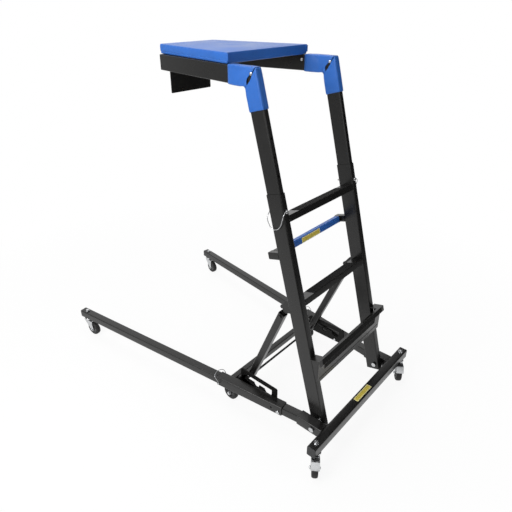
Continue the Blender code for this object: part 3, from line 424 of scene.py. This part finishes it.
def hex_nut(bm, at, axis, across, height, washer, stud, stud_r):
    """A nut with the end of its stud, and a washer under it unless its radius is zero."""
    washer_thick, washer_edge = 0.0016, 0.0004
    stud_root, stud_edge = -0.001, 0.0008
    if washer:
        turned(bm, at, axis, ((0.0, 0.0), (washer, 0.0), (washer, washer_thick - washer_edge),
                              (washer - washer_edge, washer_thick), (0.0, washer_thick)), 32)
        at = at + axis * washer_thick
    radius = across / math.sqrt(3)
    shape = bmesh.new()
    bmesh.ops.create_cone(shape, cap_ends=True, segments=6, radius1=radius, radius2=radius, depth=height)
    bmesh.ops.translate(shape, vec=(0, 0, height / 2), verts=shape.verts)
    ease(shape, shape.edges[:], across * 0.06, clamp_overlap=True)
    bmesh.ops.transform(shape, matrix=facing(at, axis), verts=shape.verts)
    merge(bm, shape)
    turned(bm, at + axis * height, axis, ((0.0, stud_root), (stud_r, stud_root), (stud_r, stud - stud_edge),
                                          (stud_r - stud_edge, stud), (0.0, stud)), 20)


def dome(bm, at, axis, radius, height):
    """A low round bolt head, on an upright rim a quarter of its height."""
    arc = [math.radians(15.0 * i) for i in range(6)]
    profile = [(radius * math.cos(a), height * (0.25 + 0.75 * math.sin(a))) for a in arc]
    turned(bm, at, axis, [(0.0, 0.0), (radius, 0.0)] + profile + [(0.0, height)], 28)


def dress(node, surface, rounding=0.0):
    """The CAD solid with its facets merged, its hard edges eased and a smooth skin."""
    hard_angle = 50.0
    bm = bmesh.new()
    bm.from_mesh(frame["nodes"][node].data)
    bmesh.ops.remove_doubles(bm, verts=bm.verts, dist=1e-5)
    bmesh.ops.dissolve_limit(bm, angle_limit=math.radians(0.5), verts=bm.verts[:], edges=bm.edges[:])
    if rounding:
        between = [e for e in bm.edges if len(e.link_faces) == 2]
        hard = [e for e in between if e.calc_face_angle(0.0) > math.radians(hard_angle)]
        ease(bm, hard, rounding, clamp_overlap=True)
    piece(node + "_body", bm, surface, HOME[node], (node,), hard_angle)


def plate(bm, at, right, up, width, height, thick, corner):
    """A flat plate with rounded corners, standing on a surface."""
    shape = bmesh.new()
    bmesh.ops.create_grid(shape, x_segments=1, y_segments=1, size=0.5)
    bmesh.ops.scale(shape, vec=(width, height, 1.0), verts=shape.verts)
    ease(shape, shape.verts[:], corner, 4, "VERTICES")
    out = right.cross(up).normalized()
    base = Matrix((right.normalized(), up.normalized(), out)).transposed().to_4x4()
    grown = bmesh.ops.extrude_face_region(shape, geom=shape.faces[:])
    top = [v for v in grown["geom"] if isinstance(v, bmesh.types.BMVert)]
    bmesh.ops.translate(shape, vec=(0, 0, thick), verts=top)
    bmesh.ops.recalc_face_normals(shape, faces=shape.faces)
    bmesh.ops.transform(shape, matrix=Matrix.Translation(at) @ base, verts=shape.verts)
    merge(bm, shape)


def plate_piece(name, surface, body, *plates):
    """A piece of one or more flat plates, each with the values that plate takes."""
    bm = bmesh.new()
    for values in plates:
        plate(bm, *values)
    piece(name, bm, surface, body)


def wire_piece(node, points):
    """A bent wire along a smooth line, in place of its CAD solid."""
    curve = bpy.data.curves.new(node + "_line", "CURVE")
    curve.dimensions = "3D"
    curve.bevel_depth = 0.0015
    curve.bevel_resolution = 4
    curve.resolution_u = 8
    curve.use_fill_caps = True
    line = curve.splines.new("BEZIER")
    line.bezier_points.add(len(points) - 1)
    for knot, at in zip(line.bezier_points, points):
        knot.co = at
        knot.handle_left_type = knot.handle_right_type = "AUTO"
    holder = bpy.data.objects.new(node + "_line", curve)
    scene.collection.objects.link(holder)
    mesh = applied(holder)
    bm = bmesh.new()
    bm.from_mesh(mesh)
    bpy.data.objects.remove(holder)
    bpy.data.curves.remove(curve)
    bpy.data.meshes.remove(mesh)
    bmesh.ops.remove_doubles(bm, verts=bm.verts, dist=1e-6)
    piece(node + "_wire", bm, ZINC, HOME[node], (node,), 60.0, even=False)


# Tubes, plates and channels
for node in ("rear_crossbar", "base_cross_tube", "release_rod"):
    dress(node, BLACK)
for node in ("top_step", "middle_step", "bottom_step"):
    dress(node, BLACK, 0.0010)
dress("drop_plate", BLACK, 0.0008)
dress("deck_board", WOOD, 0.0006)
dress("front_bar", VINYL)
SIDE_TUBES = ("rear_stub", "mid_rail", "front_leg", "lower_stile", "upper_frame", "brace", "front_bar_stub")
for side, s in SIDES:
    for part in SIDE_TUBES:
        dress(f"{side}_{part}", BLACK)
    for part in ("mid_wheel_bracket", "brace_bracket"):
        dress(f"{side}_{part}", BLACK, 0.0005)
    # The notch plates take the darker matt copy of the black coat: painted shade
    dress(f"{side}_notch_plate", SHADED_MATT_PLATE, 0.0005)
    dress(f"{side}_crossbar_plug", PLASTIC, 0.0010)
    for part in ("rear_caster_fork", "front_caster_fork", "rear_brake_pedal"):
        dress(f"{side}_{part}", ZINC, 0.0005)
    for part in ("leg_lock_pin", "ladder_lock_pin", "foot_bolt"):
        dress(f"{side}_{part}", ZINC)


# Grip tape on the treads of the upper steps, and a dark matt sheet of the same finish on the web and lip of
# the bottom one
TAPE_THICK, TAPE_CORNER = 0.0009, 0.002
STEP_TOP_OFF, STEP_TAPE_WIDTH, STEP_TAPE_DEPTH = 0.0085, 0.302, 0.0445
for label, along in (("top", 0.990), ("middle", 0.6616)):
    tread_place = on_stile(0.0, along, STEP_TOP_OFF)
    plate_piece(f"{label}_step_grip", GRIP, "ladder",
                (tread_place, X, -REAR, STEP_TAPE_WIDTH, STEP_TAPE_DEPTH, TAPE_THICK, TAPE_CORNER))
web_place = Vector((0.0, LOW_STEP_WEB_Y - CENTRE, 0.382))
lip_place = on_stile(0.0, 0.4123, 0.0770)
plate_piece("bottom_step_dark_sheet", GRIP, "ladder",
            (web_place, X, Z, 0.396, 0.046, TAPE_THICK, TAPE_CORNER),
            (lip_place, X, UP, LOW_STEP_WIDTH, 0.0215, TAPE_THICK, TAPE_CORNER))
# A thin dark strip across the bottom step's web: painted shade standing for a groove
groove_shade_place = Vector((0.0, LOW_STEP_WEB_Y - CENTRE, 0.3315))
plate_piece("bottom_step_groove_shade", SHADOW, "ladder",
            (groove_shade_place, X, Z, LOW_STEP_WIDTH, 0.0024, 0.0004, 0.0008))


def leg_plug(side, s):
    """End plug of a front leg, with its outer edge eased."""
    end, ahead = on_rail(s, LEG_END, 0.0, BASE_Z), rail_dir(s)
    width, thick, rounding = 0.0376, 0.0028, 0.0008
    plug = bmesh.new()
    plate(plug, end, Z.cross(ahead), Z, width, width, thick, 0.0040)
    outer = [e for e in plug.edges if min((v.co - end).dot(ahead) for v in e.verts) > thick - rounding]
    ease(plug, outer, rounding)
    piece(f"{side}_leg_plug", plug, PLASTIC, f"{side}_leg")


# Casters and rollers
CASTER_R, ROLLER_R = 0.038, 0.037
WHEEL_HALF, TREAD_WALL = 0.0125, 0.0125
REAR_TURN = math.radians(55.0)
REAR_TRAIL = Vector((-math.sin(REAR_TURN), -math.cos(REAR_TURN), 0.0))


def both_faces(profile):
    """A wheel's whole profile, from the half that runs from one face to the middle."""
    return [(r, -h) for r, h in profile] + [(r, h) for r, h in reversed(profile)]


def wheel_pieces(label, node, axis, radius, hub_surface):
    """A turned tread on a dished hub."""
    at, body = middle(node), HOME[node]
    half, core = WHEEL_HALF, radius - TREAD_WALL
    tread_profile = both_faces((
        (core, half - 0.003), (core + 0.002, half), (radius - 0.0055, half),
        (radius - 0.0022, half - 0.0018), (radius - 0.0006, half - 0.0055), (radius, 0.003)))
    tread = bmesh.new()
    turned(tread, at, axis, tread_profile, 56, closed=True)
    piece(label + "_tread", tread, RUBBER, body, (node,), 45.0)
    hub_profile = both_faces((
        (0.0042, half + 0.0004), (0.0095, half + 0.0004), (0.0105, half - 0.001), (0.0115, half - 0.0045),
        (core - 0.005, half - 0.0055), (core - 0.003, half - 0.0015), (core + 0.0002, half - 0.0008)))
    hub = bmesh.new()
    turned(hub, at, axis, hub_profile, 48, closed=True)
    piece(label + "_hub", hub, hub_surface, body, sharp=35.0)


def wheels(side, s):
    """Both casters' wheels with their axle nuts, and the small roller of one side."""
    axle_half, roller_axle_half = 0.0172, 0.0142
    for end, trail in (("rear", REAR_TRAIL), ("front", -rail_dir(s))):
        axis = Z.cross(trail)
        node = f"{side}_{end}_caster_wheel"
        wheel_pieces(f"{side}_{end}_wheel", node, axis, CASTER_R, HUB)
        nuts = bmesh.new()
        for way in (-1.0, 1.0):
            hex_nut(nuts, middle(node) + axis * way * axle_half, axis * way, across=0.0125, height=0.0042,
                    washer=0.0, stud=0.002, stud_r=0.0034)
        piece(f"{side}_{end}_axle_nuts", nuts, ZINC, HOME[f"{side}_{end}_caster_fork"], sharp=35.0)
    wheel_pieces(f"{side}_mid_roller", f"{side}_mid_wheel", X, ROLLER_R, PLASTIC)
    nut = bmesh.new()
    hex_nut(nut, middle(f"{side}_mid_wheel") + X * s * roller_axle_half, X * s, across=0.0150, height=0.0055,
            washer=0.0095, stud=0.0015, stud_r=0.0038)
    piece(f"{side}_mid_roller_nut", nut, ZINC, "base", sharp=35.0)


def caster_stems(side):
    """Rivet, bearing cup and stud of each caster, with a washer and nut on top of the tube."""
    stud_r, cup_r, rivet_r = 0.0055, 0.0215, 0.0090
    rivet_foot, cup_foot = 0.0832, 0.0885
    rivet = ((0.0, rivet_foot), (rivet_r - 0.0005, rivet_foot), (rivet_r, rivet_foot + 0.0006),
             (rivet_r, rivet_foot + 0.0018), (stud_r, rivet_foot + 0.0020))
    for part, half in (("rear_caster_bolt", TUBE_HALF), ("leg_caster_bolt", LEG_HALF)):
        node = f"{side}_{part}"
        foot = middle(node)
        foot.z = 0.0
        low, high = BASE_Z - half, BASE_Z + half
        cup = ((stud_r, cup_foot), (0.0170, cup_foot), (cup_r - 0.0010, cup_foot + 0.0008),
               (cup_r, cup_foot + 0.0025), (cup_r, low - 0.0012), (cup_r - 0.0010, low - 0.0003),
               (stud_r, low - 0.0003))
        stem = bmesh.new()
        turned(stem, foot, Z, rivet + cup + ((stud_r, high), (0.0, high)), 40)
        hex_nut(stem, foot + Z * high, Z, across=0.0165, height=0.0062, washer=0.0105, stud=0.0012,
                stud_r=0.0046)
        piece(f"{side}_{part}_set", stem, ZINC, HOME[node], (node,), 35.0)


# Wire bails, as chosen points from the head of each lock pin to its tip
LEG_BAIL = ((0.0, -0.0265, 0.0089), (0.006, -0.0285, 0.020), (0.016, -0.0255, 0.0295),
            (0.026, -0.012, 0.0325), (0.028, 0.008, 0.0325), (0.020, 0.029, 0.0295),
            (0.009, 0.0315, 0.018), (0.001, 0.0305, 0.0065))
LADDER_BAIL = ((0.0092, 0.0, 0.036), (0.0195, -0.010, 0.0345), (0.0215, -0.027, 0.0255),
               (0.022, -0.048, 0.0125), (0.022, -0.0605, -0.0100), (0.022, -0.0560, -0.0290),
               (0.021, -0.036, -0.0400), (0.018, -0.014, -0.0430), (0.0105, -0.004, -0.0415),
               (0.0065, 0.0, -0.041))


def pin_tip(name, at, axis, length, body):
    """The end of a lock pin past its tube, with a bullet nose."""
    radius, nose_r = 0.0040, 0.0028
    tip = bmesh.new()
    turned(tip, at, axis, ((0.0, 0.0), (radius, 0.0), (radius, length - 0.0033), (nose_r, length - 0.0006),
                           (0.0, length)), 24)
    piece(name, tip, ZINC, body)


def bails(side, s):
    """Bails and pin tips: points go along, out and up on a leg, and out, along and off on the ladder."""
    rail_side, stile_front, x = 0.0226, -0.0321, s * STILE_X
    wire_piece(f"{side}_leg_bail", [on_rail(s, LEG_PIN + a, o, BASE_Z + h) for a, o, h in LEG_BAIL])
    pin_tip(f"{side}_leg_pin_tip", on_rail(s, LEG_PIN, rail_side, BASE_Z), rail_out(s), 0.0128, "base")
    wire_piece(f"{side}_ladder_bail", [on_stile(x + s * o, LADDER_PIN + a, f) for o, a, f in LADDER_BAIL])
    pin_tip(f"{side}_ladder_pin_tip", on_stile(x, LADDER_PIN, stile_front), -REAR, 0.0138, "ladder")


def bolt_heads(side, s):
    """Heads and nuts of the bolts through the tubes of one side, and a dark disc beside one, painted as the
    shade inside an open bore.
    """
    heads = bmesh.new()
    dome(heads, on_rail(s, JOINER, TUBE_HALF, JOINER_Z), rail_out(s), 0.0085, 0.0055)
    hex_nut(heads, on_rail(s, JOINER, -TUBE_HALF, JOINER_Z), -rail_out(s), across=0.013, height=0.006,
            washer=0.009, stud=0.003, stud_r=0.0035)
    piece(f"{side}_joiner_bolt", heads, ZINC, "base")
    # A dark disc on the tube face: painted shade, where an open bore would show dark
    hole = bmesh.new()
    turned(hole, on_rail(s, SPARE_BORE, TUBE_HALF + STANDOFF, BASE_Z + 0.001), rail_out(s),
           ((0.0, 0.0), (0.0042, 0.0), (0.0, 0.0001)), 24)
    piece(f"{side}_spare_bore_shade_disc", hole, SHADOW, "base")

    corner, rise = corner_of(s), 0.012
    heads = bmesh.new()
    for way in (s, -s):
        dome(heads, corner + X * way * UPPER_HALF - Y * 0.004 + Z * rise, X * way, 0.0065, 0.0040)
    piece(f"{side}_corner_bolt", heads, ZINC, "upper_section")
    heads = bmesh.new()
    for y in NOTCH_PLATE_BOLTS:
        dome(heads, Vector((s * NOTCH_PLATE_X, y - CENTRE, NOTCH_PLATE_Z)), X * -s, 0.0065, 0.0045)
    piece(f"{side}_plate_bolts", heads, ZINC, "base")
    heads = bmesh.new()
    inner = Vector((-s * math.cos(ARM_ANGLE), -math.sin(ARM_ANGLE), 0.0))
    for y in ARM_BOLTS:
        shift = (y - CENTRE - corner.y - ARM_START) * math.tan(ARM_ANGLE)
        arm_middle = Vector((s * (STILE_X - shift), y - CENTRE, CORNER_Z + rise))
        dome(heads, arm_middle + inner * UPPER_HALF, inner, 0.0060, 0.0040)
    piece(f"{side}_arm_bolts", heads, ZINC, "upper_section")


for side, s in SIDES:
    leg_plug(side, s)
    wheels(side, s)
    caster_stems(side)
    bails(side, s)
    bolt_heads(side, s)


# Soft pieces: how their outlines, walls and skins are made
def next_ring(bm, loop):
    """Extrudes an open loop of edges, and gives the new points and edges."""
    grown = bmesh.ops.extrude_edge_only(bm, edges=loop)["geom"]
    ring = [g for g in grown if isinstance(g, bmesh.types.BMVert)]
    edges = [g for g in grown if isinstance(g, bmesh.types.BMEdge) and all(v in ring for v in g.verts)]
    return ring, edges


def outline_only(bm, corner, long_side, cuts):
    """Rounds a sheet's corners, keeps its outline alone and divides the long sides of it."""
    ease(bm, bm.verts[:], corner, 4, "VERTICES")
    bmesh.ops.delete(bm, geom=bm.faces[:], context="FACES_ONLY")
    sides = [e for e in bm.edges if e.calc_length() > long_side]
    bmesh.ops.subdivide_edges(bm, edges=sides, cuts=cuts)


def thicken(obj, wall):
    shell = obj.modifiers.new("vinyl_thickness", "SOLIDIFY")
    shell.thickness = wall
    shell.offset = -1.0


def refine(obj):
    finer = obj.modifiers.new("fine_skin", "SUBSURF")
    finer.levels = finer.render_levels = 1


def deck_corner(co, inset, z):
    """Where a corner of a unit square goes on the deck's outline, which narrows to the front."""
    back = co.y < 0
    half = PAD_REAR_HALF if back else PAD_FRONT_HALF
    return Vector((math.copysign(half - inset, co.x), PAD_REAR + inset if back else PAD_FRONT - inset, z))


def swell(obj, held, cap, pressure):
    """Cloth under pressure, with its movement capped."""
    last_frame = 20
    rest = [v.co.copy() for v in obj.data.vertices]
    pins = obj.vertex_groups.new(name="held")
    pins.add([i for i, co in enumerate(rest) if held(co)], 1.0, "REPLACE")
    cloth = obj.modifiers.new("swell", "CLOTH")
    rules = cloth.settings
    rules.quality = 5
    rules.mass = 0.3
    rules.use_pressure = True
    rules.uniform_pressure_force = pressure
    rules.vertex_group_mass = "held"
    rules.effector_weights.gravity = 0.0
    rules.tension_stiffness = rules.compression_stiffness = 30.0
    rules.bending_stiffness = 4.0
    cloth.point_cache.frame_start, cloth.point_cache.frame_end = 1, last_frame
    for step in range(1, last_frame + 1):
        scene.frame_set(step)
    moved = obj.evaluated_get(bpy.context.evaluated_depsgraph_get()).to_mesh()
    now = [v.co.copy() for v in moved.vertices]
    obj.modifiers.remove(cloth)
    obj.vertex_groups.remove(pins)
    scene.frame_set(1)
    for vert, old, new in zip(obj.data.vertices, rest, now):
        shift = new - old
        if shift.length > cap:
            shift = shift.normalized() * cap
        vert.co = old + shift


def cushion():
    """The padded deck: a wrapped block that swells under its vinyl, with a tuck at each rear corner."""
    bm = bmesh.new()
    bmesh.ops.create_cube(bm, size=1.0)
    for vert in bm.verts:
        vert.co = deck_corner(vert.co, 0.0, PAD_TOP if vert.co.z > 0 else PAD_LOW)
    upright = [e for e in bm.edges if abs(e.verts[0].co.z - e.verts[1].co.z) > 0.01]
    ease(bm, upright, 0.0035, 3)
    rim = [e for e in bm.edges if min(v.co.z for v in e.verts) > PAD_TOP - 0.001]
    ease(bm, rim, 0.0025, 3)
    pad = piece("deck_cushion", bm, VINYL, "upper_section", ("deck_pad",), 180.0, even=False)
    remesh = pad.modifiers.new("even_mesh", "REMESH")
    remesh.mode = "VOXEL"
    remesh.voxel_size = 0.0045
    made = applied(pad)
    pad.modifiers.remove(remesh)
    pad.data = made
    made.shade_smooth()

    def taut(co):
        """The underside, and the top edge where the vinyl is drawn tight."""
        foot, rim_width = 0.0035, 0.006
        forward = (co.y - PAD_REAR) / (PAD_FRONT - PAD_REAR)
        half = PAD_REAR_HALF + (PAD_FRONT_HALF - PAD_REAR_HALF) * forward
        inset = min(co.y - PAD_REAR, PAD_FRONT - co.y, half - abs(co.x))
        return co.z < PAD_LOW + foot or (co.z > PAD_TOP - rim_width and inset < rim_width)

    swell(pad, taut, cap=0.0055, pressure=4.0)
    refine(pad)
    tuck_x, tuck_z = 0.2190, (PAD_LOW + PAD_TOP) / 2 - 0.001
    tucks = [Vector((way * tuck_x, PAD_REAR + 0.0010, tuck_z)) for way in (-1.0, 1.0)]
    plate_piece("cushion_corner_tucks", VINYL, "upper_section",
                *((at, X, Z, 0.012, 0.0235, 0.0026, 0.0012) for at in tucks))


def skirt():
    """The vinyl drawn down over the edge of the board and turned under it."""
    top, inset = 1.4475, 0.001
    bm = bmesh.new()
    bmesh.ops.create_grid(bm, x_segments=1, y_segments=1, size=0.5)
    for vert in bm.verts:
        vert.co = deck_corner(vert.co, inset, top)
    outline_only(bm, corner=0.0080, long_side=0.05, cuts=11)
    loop = bm.edges[:]
    centre = Vector((0.0, (PAD_REAR + PAD_FRONT) / 2, 0.0))
    for drop, draw in ((0.0058, 0.0), (0.0040, 0.0010), (0.0010, 0.0035), (0.0, 0.0050)):
        ring, loop = next_ring(bm, loop)
        for vert in ring:
            inward = centre - vert.co
            inward.z = 0.0
            vert.co += inward.normalized() * draw - Z * drop
    bm.normal_update()
    heart = centre + Z * (top - 0.0015)
    inside = [f for f in bm.faces if f.normal.dot(f.calc_center_median() - heart) < 0]
    bmesh.ops.reverse_faces(bm, faces=inside)
    obj = piece("deck_cushion_skirt", bm, VINYL, "upper_section", sharp=60.0, even=False)
    thicken(obj, 0.0012)


cushion()
skirt()


# Vinyl sleeves round the two corners of the upper frame, each of two tubes that meet at the mitre
SLEEVE_WIDTH, SLEEVE_DEPTH, SLEEVE_CORNER, SLEEVE_WALL = 0.0320, 0.0660, 0.0055, 0.0028
SLEEVE_FOOT = 1.353
SLEEVE_STEPS = 8
PAD_GAP = 0.002
MITRE, SEAM = (Y + UP).normalized(), (Z + REAR).normalized()
SEAM_OPENING, SEAM_REACH = 0.0068, 0.014
SEAM_SPAN, SEAM_START, SEAM_LENGTH = 0.085, 0.487, 0.737
RIPPLE, RIPPLE_REACH = 0.0007, 0.03


def sleeve_part(name, stations, shift):
    """A loose tube of vinyl; each station is a centre, its axis, and its cut plane or None."""
    bm = bmesh.new()
    bmesh.ops.create_grid(bm, x_segments=1, y_segments=1, size=0.5)
    bmesh.ops.scale(bm, vec=(SLEEVE_WIDTH, SLEEVE_DEPTH, 1.0), verts=bm.verts)
    outline_only(bm, SLEEVE_CORNER, long_side=0.015, cuts=7)
    shape = [v.co.copy() for v in bm.verts]
    ring, loop = bm.verts[:], bm.edges[:]
    for index, (centre, axis, cut) in enumerate(stations):
        if index:
            ring, loop = next_ring(bm, loop)
        deep = axis.cross(X)
        for vert, flat in zip(ring, shape):
            at = centre + X * flat.x + deep * flat.y
            if cut is not None:
                at += axis * ((centre - at).dot(cut) / axis.dot(cut))
            vert.co = at
    bmesh.ops.recalc_face_normals(bm, faces=bm.faces)
    for vert in bm.verts:
        vert.co += shift(vert.co)
    obj = piece(name, bm, VINYL, "upper_section", sharp=60.0, even=False)
    thicken(obj, SLEEVE_WALL)
    refine(obj)
    return obj


def sleeves(side, s):
    """The upright and the arm of one sleeve, which together stand for its CAD solid."""
    corner = corner_of(s)

    def drawn(way):
        """The vinyl moved at the mitre, most at the middle of its seam, and rippled beside it."""
        def shift(co):
            reach = (co - corner).dot(MITRE) * way
            across = (co - corner).dot(SEAM) / SEAM_SPAN
            along = min(0.2 + 0.8 * max(across + SEAM_START, 0.0) / SEAM_LENGTH, 1.0)
            near = math.exp(-((reach / SEAM_REACH) ** 2))
            opening = SEAM_OPENING * max(0.0, math.sin(math.pi * along)) * near
            fade = math.exp(-(((reach - RIPPLE_REACH) / RIPPLE_REACH) ** 2))
            ripple = RIPPLE * math.sin(co.z * 170.0 + co.y * 120.0) * fade
            return MITRE * (way * opening) + X * (s * ripple)
        return shift

    shares = [i / SLEEVE_STEPS for i in range(SLEEVE_STEPS)]
    rise = CORNER_ALONG - SLEEVE_FOOT
    upright = [(on_stile(s * STILE_X, SLEEVE_FOOT + rise * share, 0.0), UP, None) for share in shares]
    sleeve_part(f"{side}_sleeve_upright", upright + [(corner, UP, MITRE)], drawn(-1.0))
    turn = corner + Y * ARM_START
    reach = PAD_REAR - PAD_GAP - turn.y
    arm = [(turn + Y * reach - X * s * reach * math.tan(ARM_ANGLE), -Y, None)]
    arm += [(corner + Y * ARM_START * (1 - share), -Y, None) for share in shares]
    upper = sleeve_part(f"{side}_sleeve_arm", arm + [(corner, -Y, MITRE)], drawn(1.0))
    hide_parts(f"{side}_corner_sleeve")


for side, s in SIDES:
    sleeves(side, s)


# Bare black ends of the front bar, where its vinyl stops short
COLLAR_SIZE, COLLAR_CORNER = 0.0290, 0.0065
NEAR_COLLAR, FAR_COLLAR = 0.044, 0.0086
for side, start, length in (("near", -FRONT_BAR_HALF, NEAR_COLLAR),
                            ("far", FRONT_BAR_HALF - FAR_COLLAR, FAR_COLLAR)):
    collar_place = on_stile(start, FRONT_BAR_ALONG, FRONT_BAR_OFF)
    plate_piece(f"{side}_front_bar_collar", BLACK, "ladder",
                (collar_place, UP, REAR, COLLAR_SIZE, COLLAR_SIZE, length, COLLAR_CORNER))


# Plain yellow patches on the crossbar and the front bar
def patch(label, body, at, right, up, width, height):
    """A yellow face on a pale sheet that shows as its border."""
    sheet, border = 0.00030, 0.0035
    plate_piece(f"{label}_border", BORDER, body, (at, right, up, width, height, sheet, 0.0015))
    face = at + right.cross(up).normalized() * sheet
    plate_piece(f"{label}_face", YELLOW, body,
                (face, right, up, width - 2 * border, height - 2 * border, 0.00025, 0.001))


CROSSBAR_TOP = BASE_Z + TUBE_HALF + STANDOFF
patch("crossbar_patch", "base", Vector((-0.005, -CENTRE, CROSSBAR_TOP)), X, Y, 0.116, 0.022)
FRONT_BAR_SKIN = FRONT_BAR_OFF + FRONT_BAR_FACE + STANDOFF
patch("front_bar_patch", "ladder", on_stile(-0.006, FRONT_BAR_ALONG, FRONT_BAR_SKIN), X, UP, 0.124, 0.022)

# Floor, backdrop and soft light
WHITE = (1.0, 1.0, 1.0, 1.0)
WINDOW_SIDE = (-0.55, 0.83, 0.0)


def floor_paper():
    """White to the camera, with the object's shadow near it; far off, its reflection goes dim."""
    paper, tree, sockets = new_material("white_floor")
    sockets["Base Color"].default_value = (0.90, 0.90, 0.90, 1.0)
    sockets["Roughness"].default_value = 0.9
    sockets["Specular IOR Level"].default_value = 0.1
    rays = add(tree, "ShaderNodeLightPath").outputs
    seen = maths(tree, "MAXIMUM", rays["Is Camera Ray"], rays["Is Glossy Ray"])
    seen = maths(tree, "MAXIMUM", seen, rays["Is Transmission Ray"])
    spot = object_place(tree)
    reach = add(tree, "ShaderNodeVectorMath", {0: spot}, operation="LENGTH").outputs["Value"]
    toward = vector_maths(tree, "DOT_PRODUCT", spot, WINDOW_SIDE, "Value")
    window_share = maths(tree, "DIVIDE", toward, maths(tree, "ADD", reach, 0.01))
    dim = spread(tree, window_share, -0.08, 0.3, 0.05, 0.45)
    glow = blend_value(tree, spread(tree, reach, 1.0, 3.2, 0.0, 1.0), 1.0, dim)
    glow = blend_value(tree, rays["Is Glossy Ray"], 1.0, glow)
    white = add(tree, "ShaderNodeEmission", {"Color": WHITE, "Strength": glow})
    white_share = maths(tree, "MULTIPLY", seen, spread(tree, reach, 0.7, 2.2, 0.90, 1.0))
    matt = tree.nodes["Principled BSDF"]
    mixed = add(tree, "ShaderNodeMixShader", {0: white_share, 1: matt.outputs[0], 2: white.outputs[0]})
    tree.links.new(mixed.outputs[0], tree.nodes["Material Output"].inputs["Surface"])
    return paper


def studio_world():
    """White to the camera; a dim room for all else, with a broad window under a slanting edge."""
    world = bpy.data.worlds.new("studio")
    world.use_nodes = True
    tree = world.node_tree
    sky = tree.nodes["Background"].inputs
    rays = add(tree, "ShaderNodeLightPath").outputs
    way = add(tree, "ShaderNodeTexCoord").outputs["Generated"]
    height = add(tree, "ShaderNodeSeparateXYZ", {0: way}).outputs["Z"]
    ahead = vector_maths(tree, "DOT_PRODUCT", way, WINDOW_SIDE, "Value")
    slant = maths(tree, "ADD", ahead, maths(tree, "MULTIPLY", maths(tree, "SUBTRACT", 0.70, height), 1.5))
    window = maths(tree, "MULTIPLY", spread(tree, slant, -0.12, 0.10, 0.0, 1.0),
                   spread(tree, ahead, -0.5, -0.2, 0.0, 1.0))
    window = maths(tree, "MULTIPLY", window, spread(tree, ahead, 0.5, 0.85, 1.0, 0.4))
    room = blend(tree, window, (0.035, 0.035, 0.036, 1.0), (1.15, 1.15, 1.15, 1.0))
    tree.links.new(blend(tree, rays["Is Camera Ray"], room, WHITE), sky["Color"])
    sky["Strength"].default_value = 1.0
    return world


def lamp(label, at, aim, size, power):
    light = bpy.data.lights.new(label, "AREA")
    light.shape = "DISK"
    light.size = size
    light.energy = power
    obj = bpy.data.objects.new(label, light)
    obj.location = at
    obj.rotation_euler = (Vector(aim) - Vector(at)).to_track_quat("-Z", "Y").to_euler()
    scene.collection.objects.link(obj)


floor_mesh = bpy.data.meshes.new("floor")
sheet = bmesh.new()
bmesh.ops.create_grid(sheet, x_segments=1, y_segments=1, size=12.0)
sheet.to_mesh(floor_mesh)
sheet.free()
floor_mesh.materials.append(floor_paper())
floor = bpy.data.objects.new("floor", floor_mesh)
scene.collection.objects.link(floor)
scene.world = studio_world()
lamp("key_light", (-2.0, 0.1, 2.2), (0.0, 0.0, 0.9), 1.4, 36.0)
lamp("fill_light", (0.8, -3.6, 2.2), (0.0, 0.0, 0.7), 2.4, 26.0)
lamp("top_light", (0.2, 0.6, 4.2), (0.0, 0.0, 0.6), 2.6, 50.0)
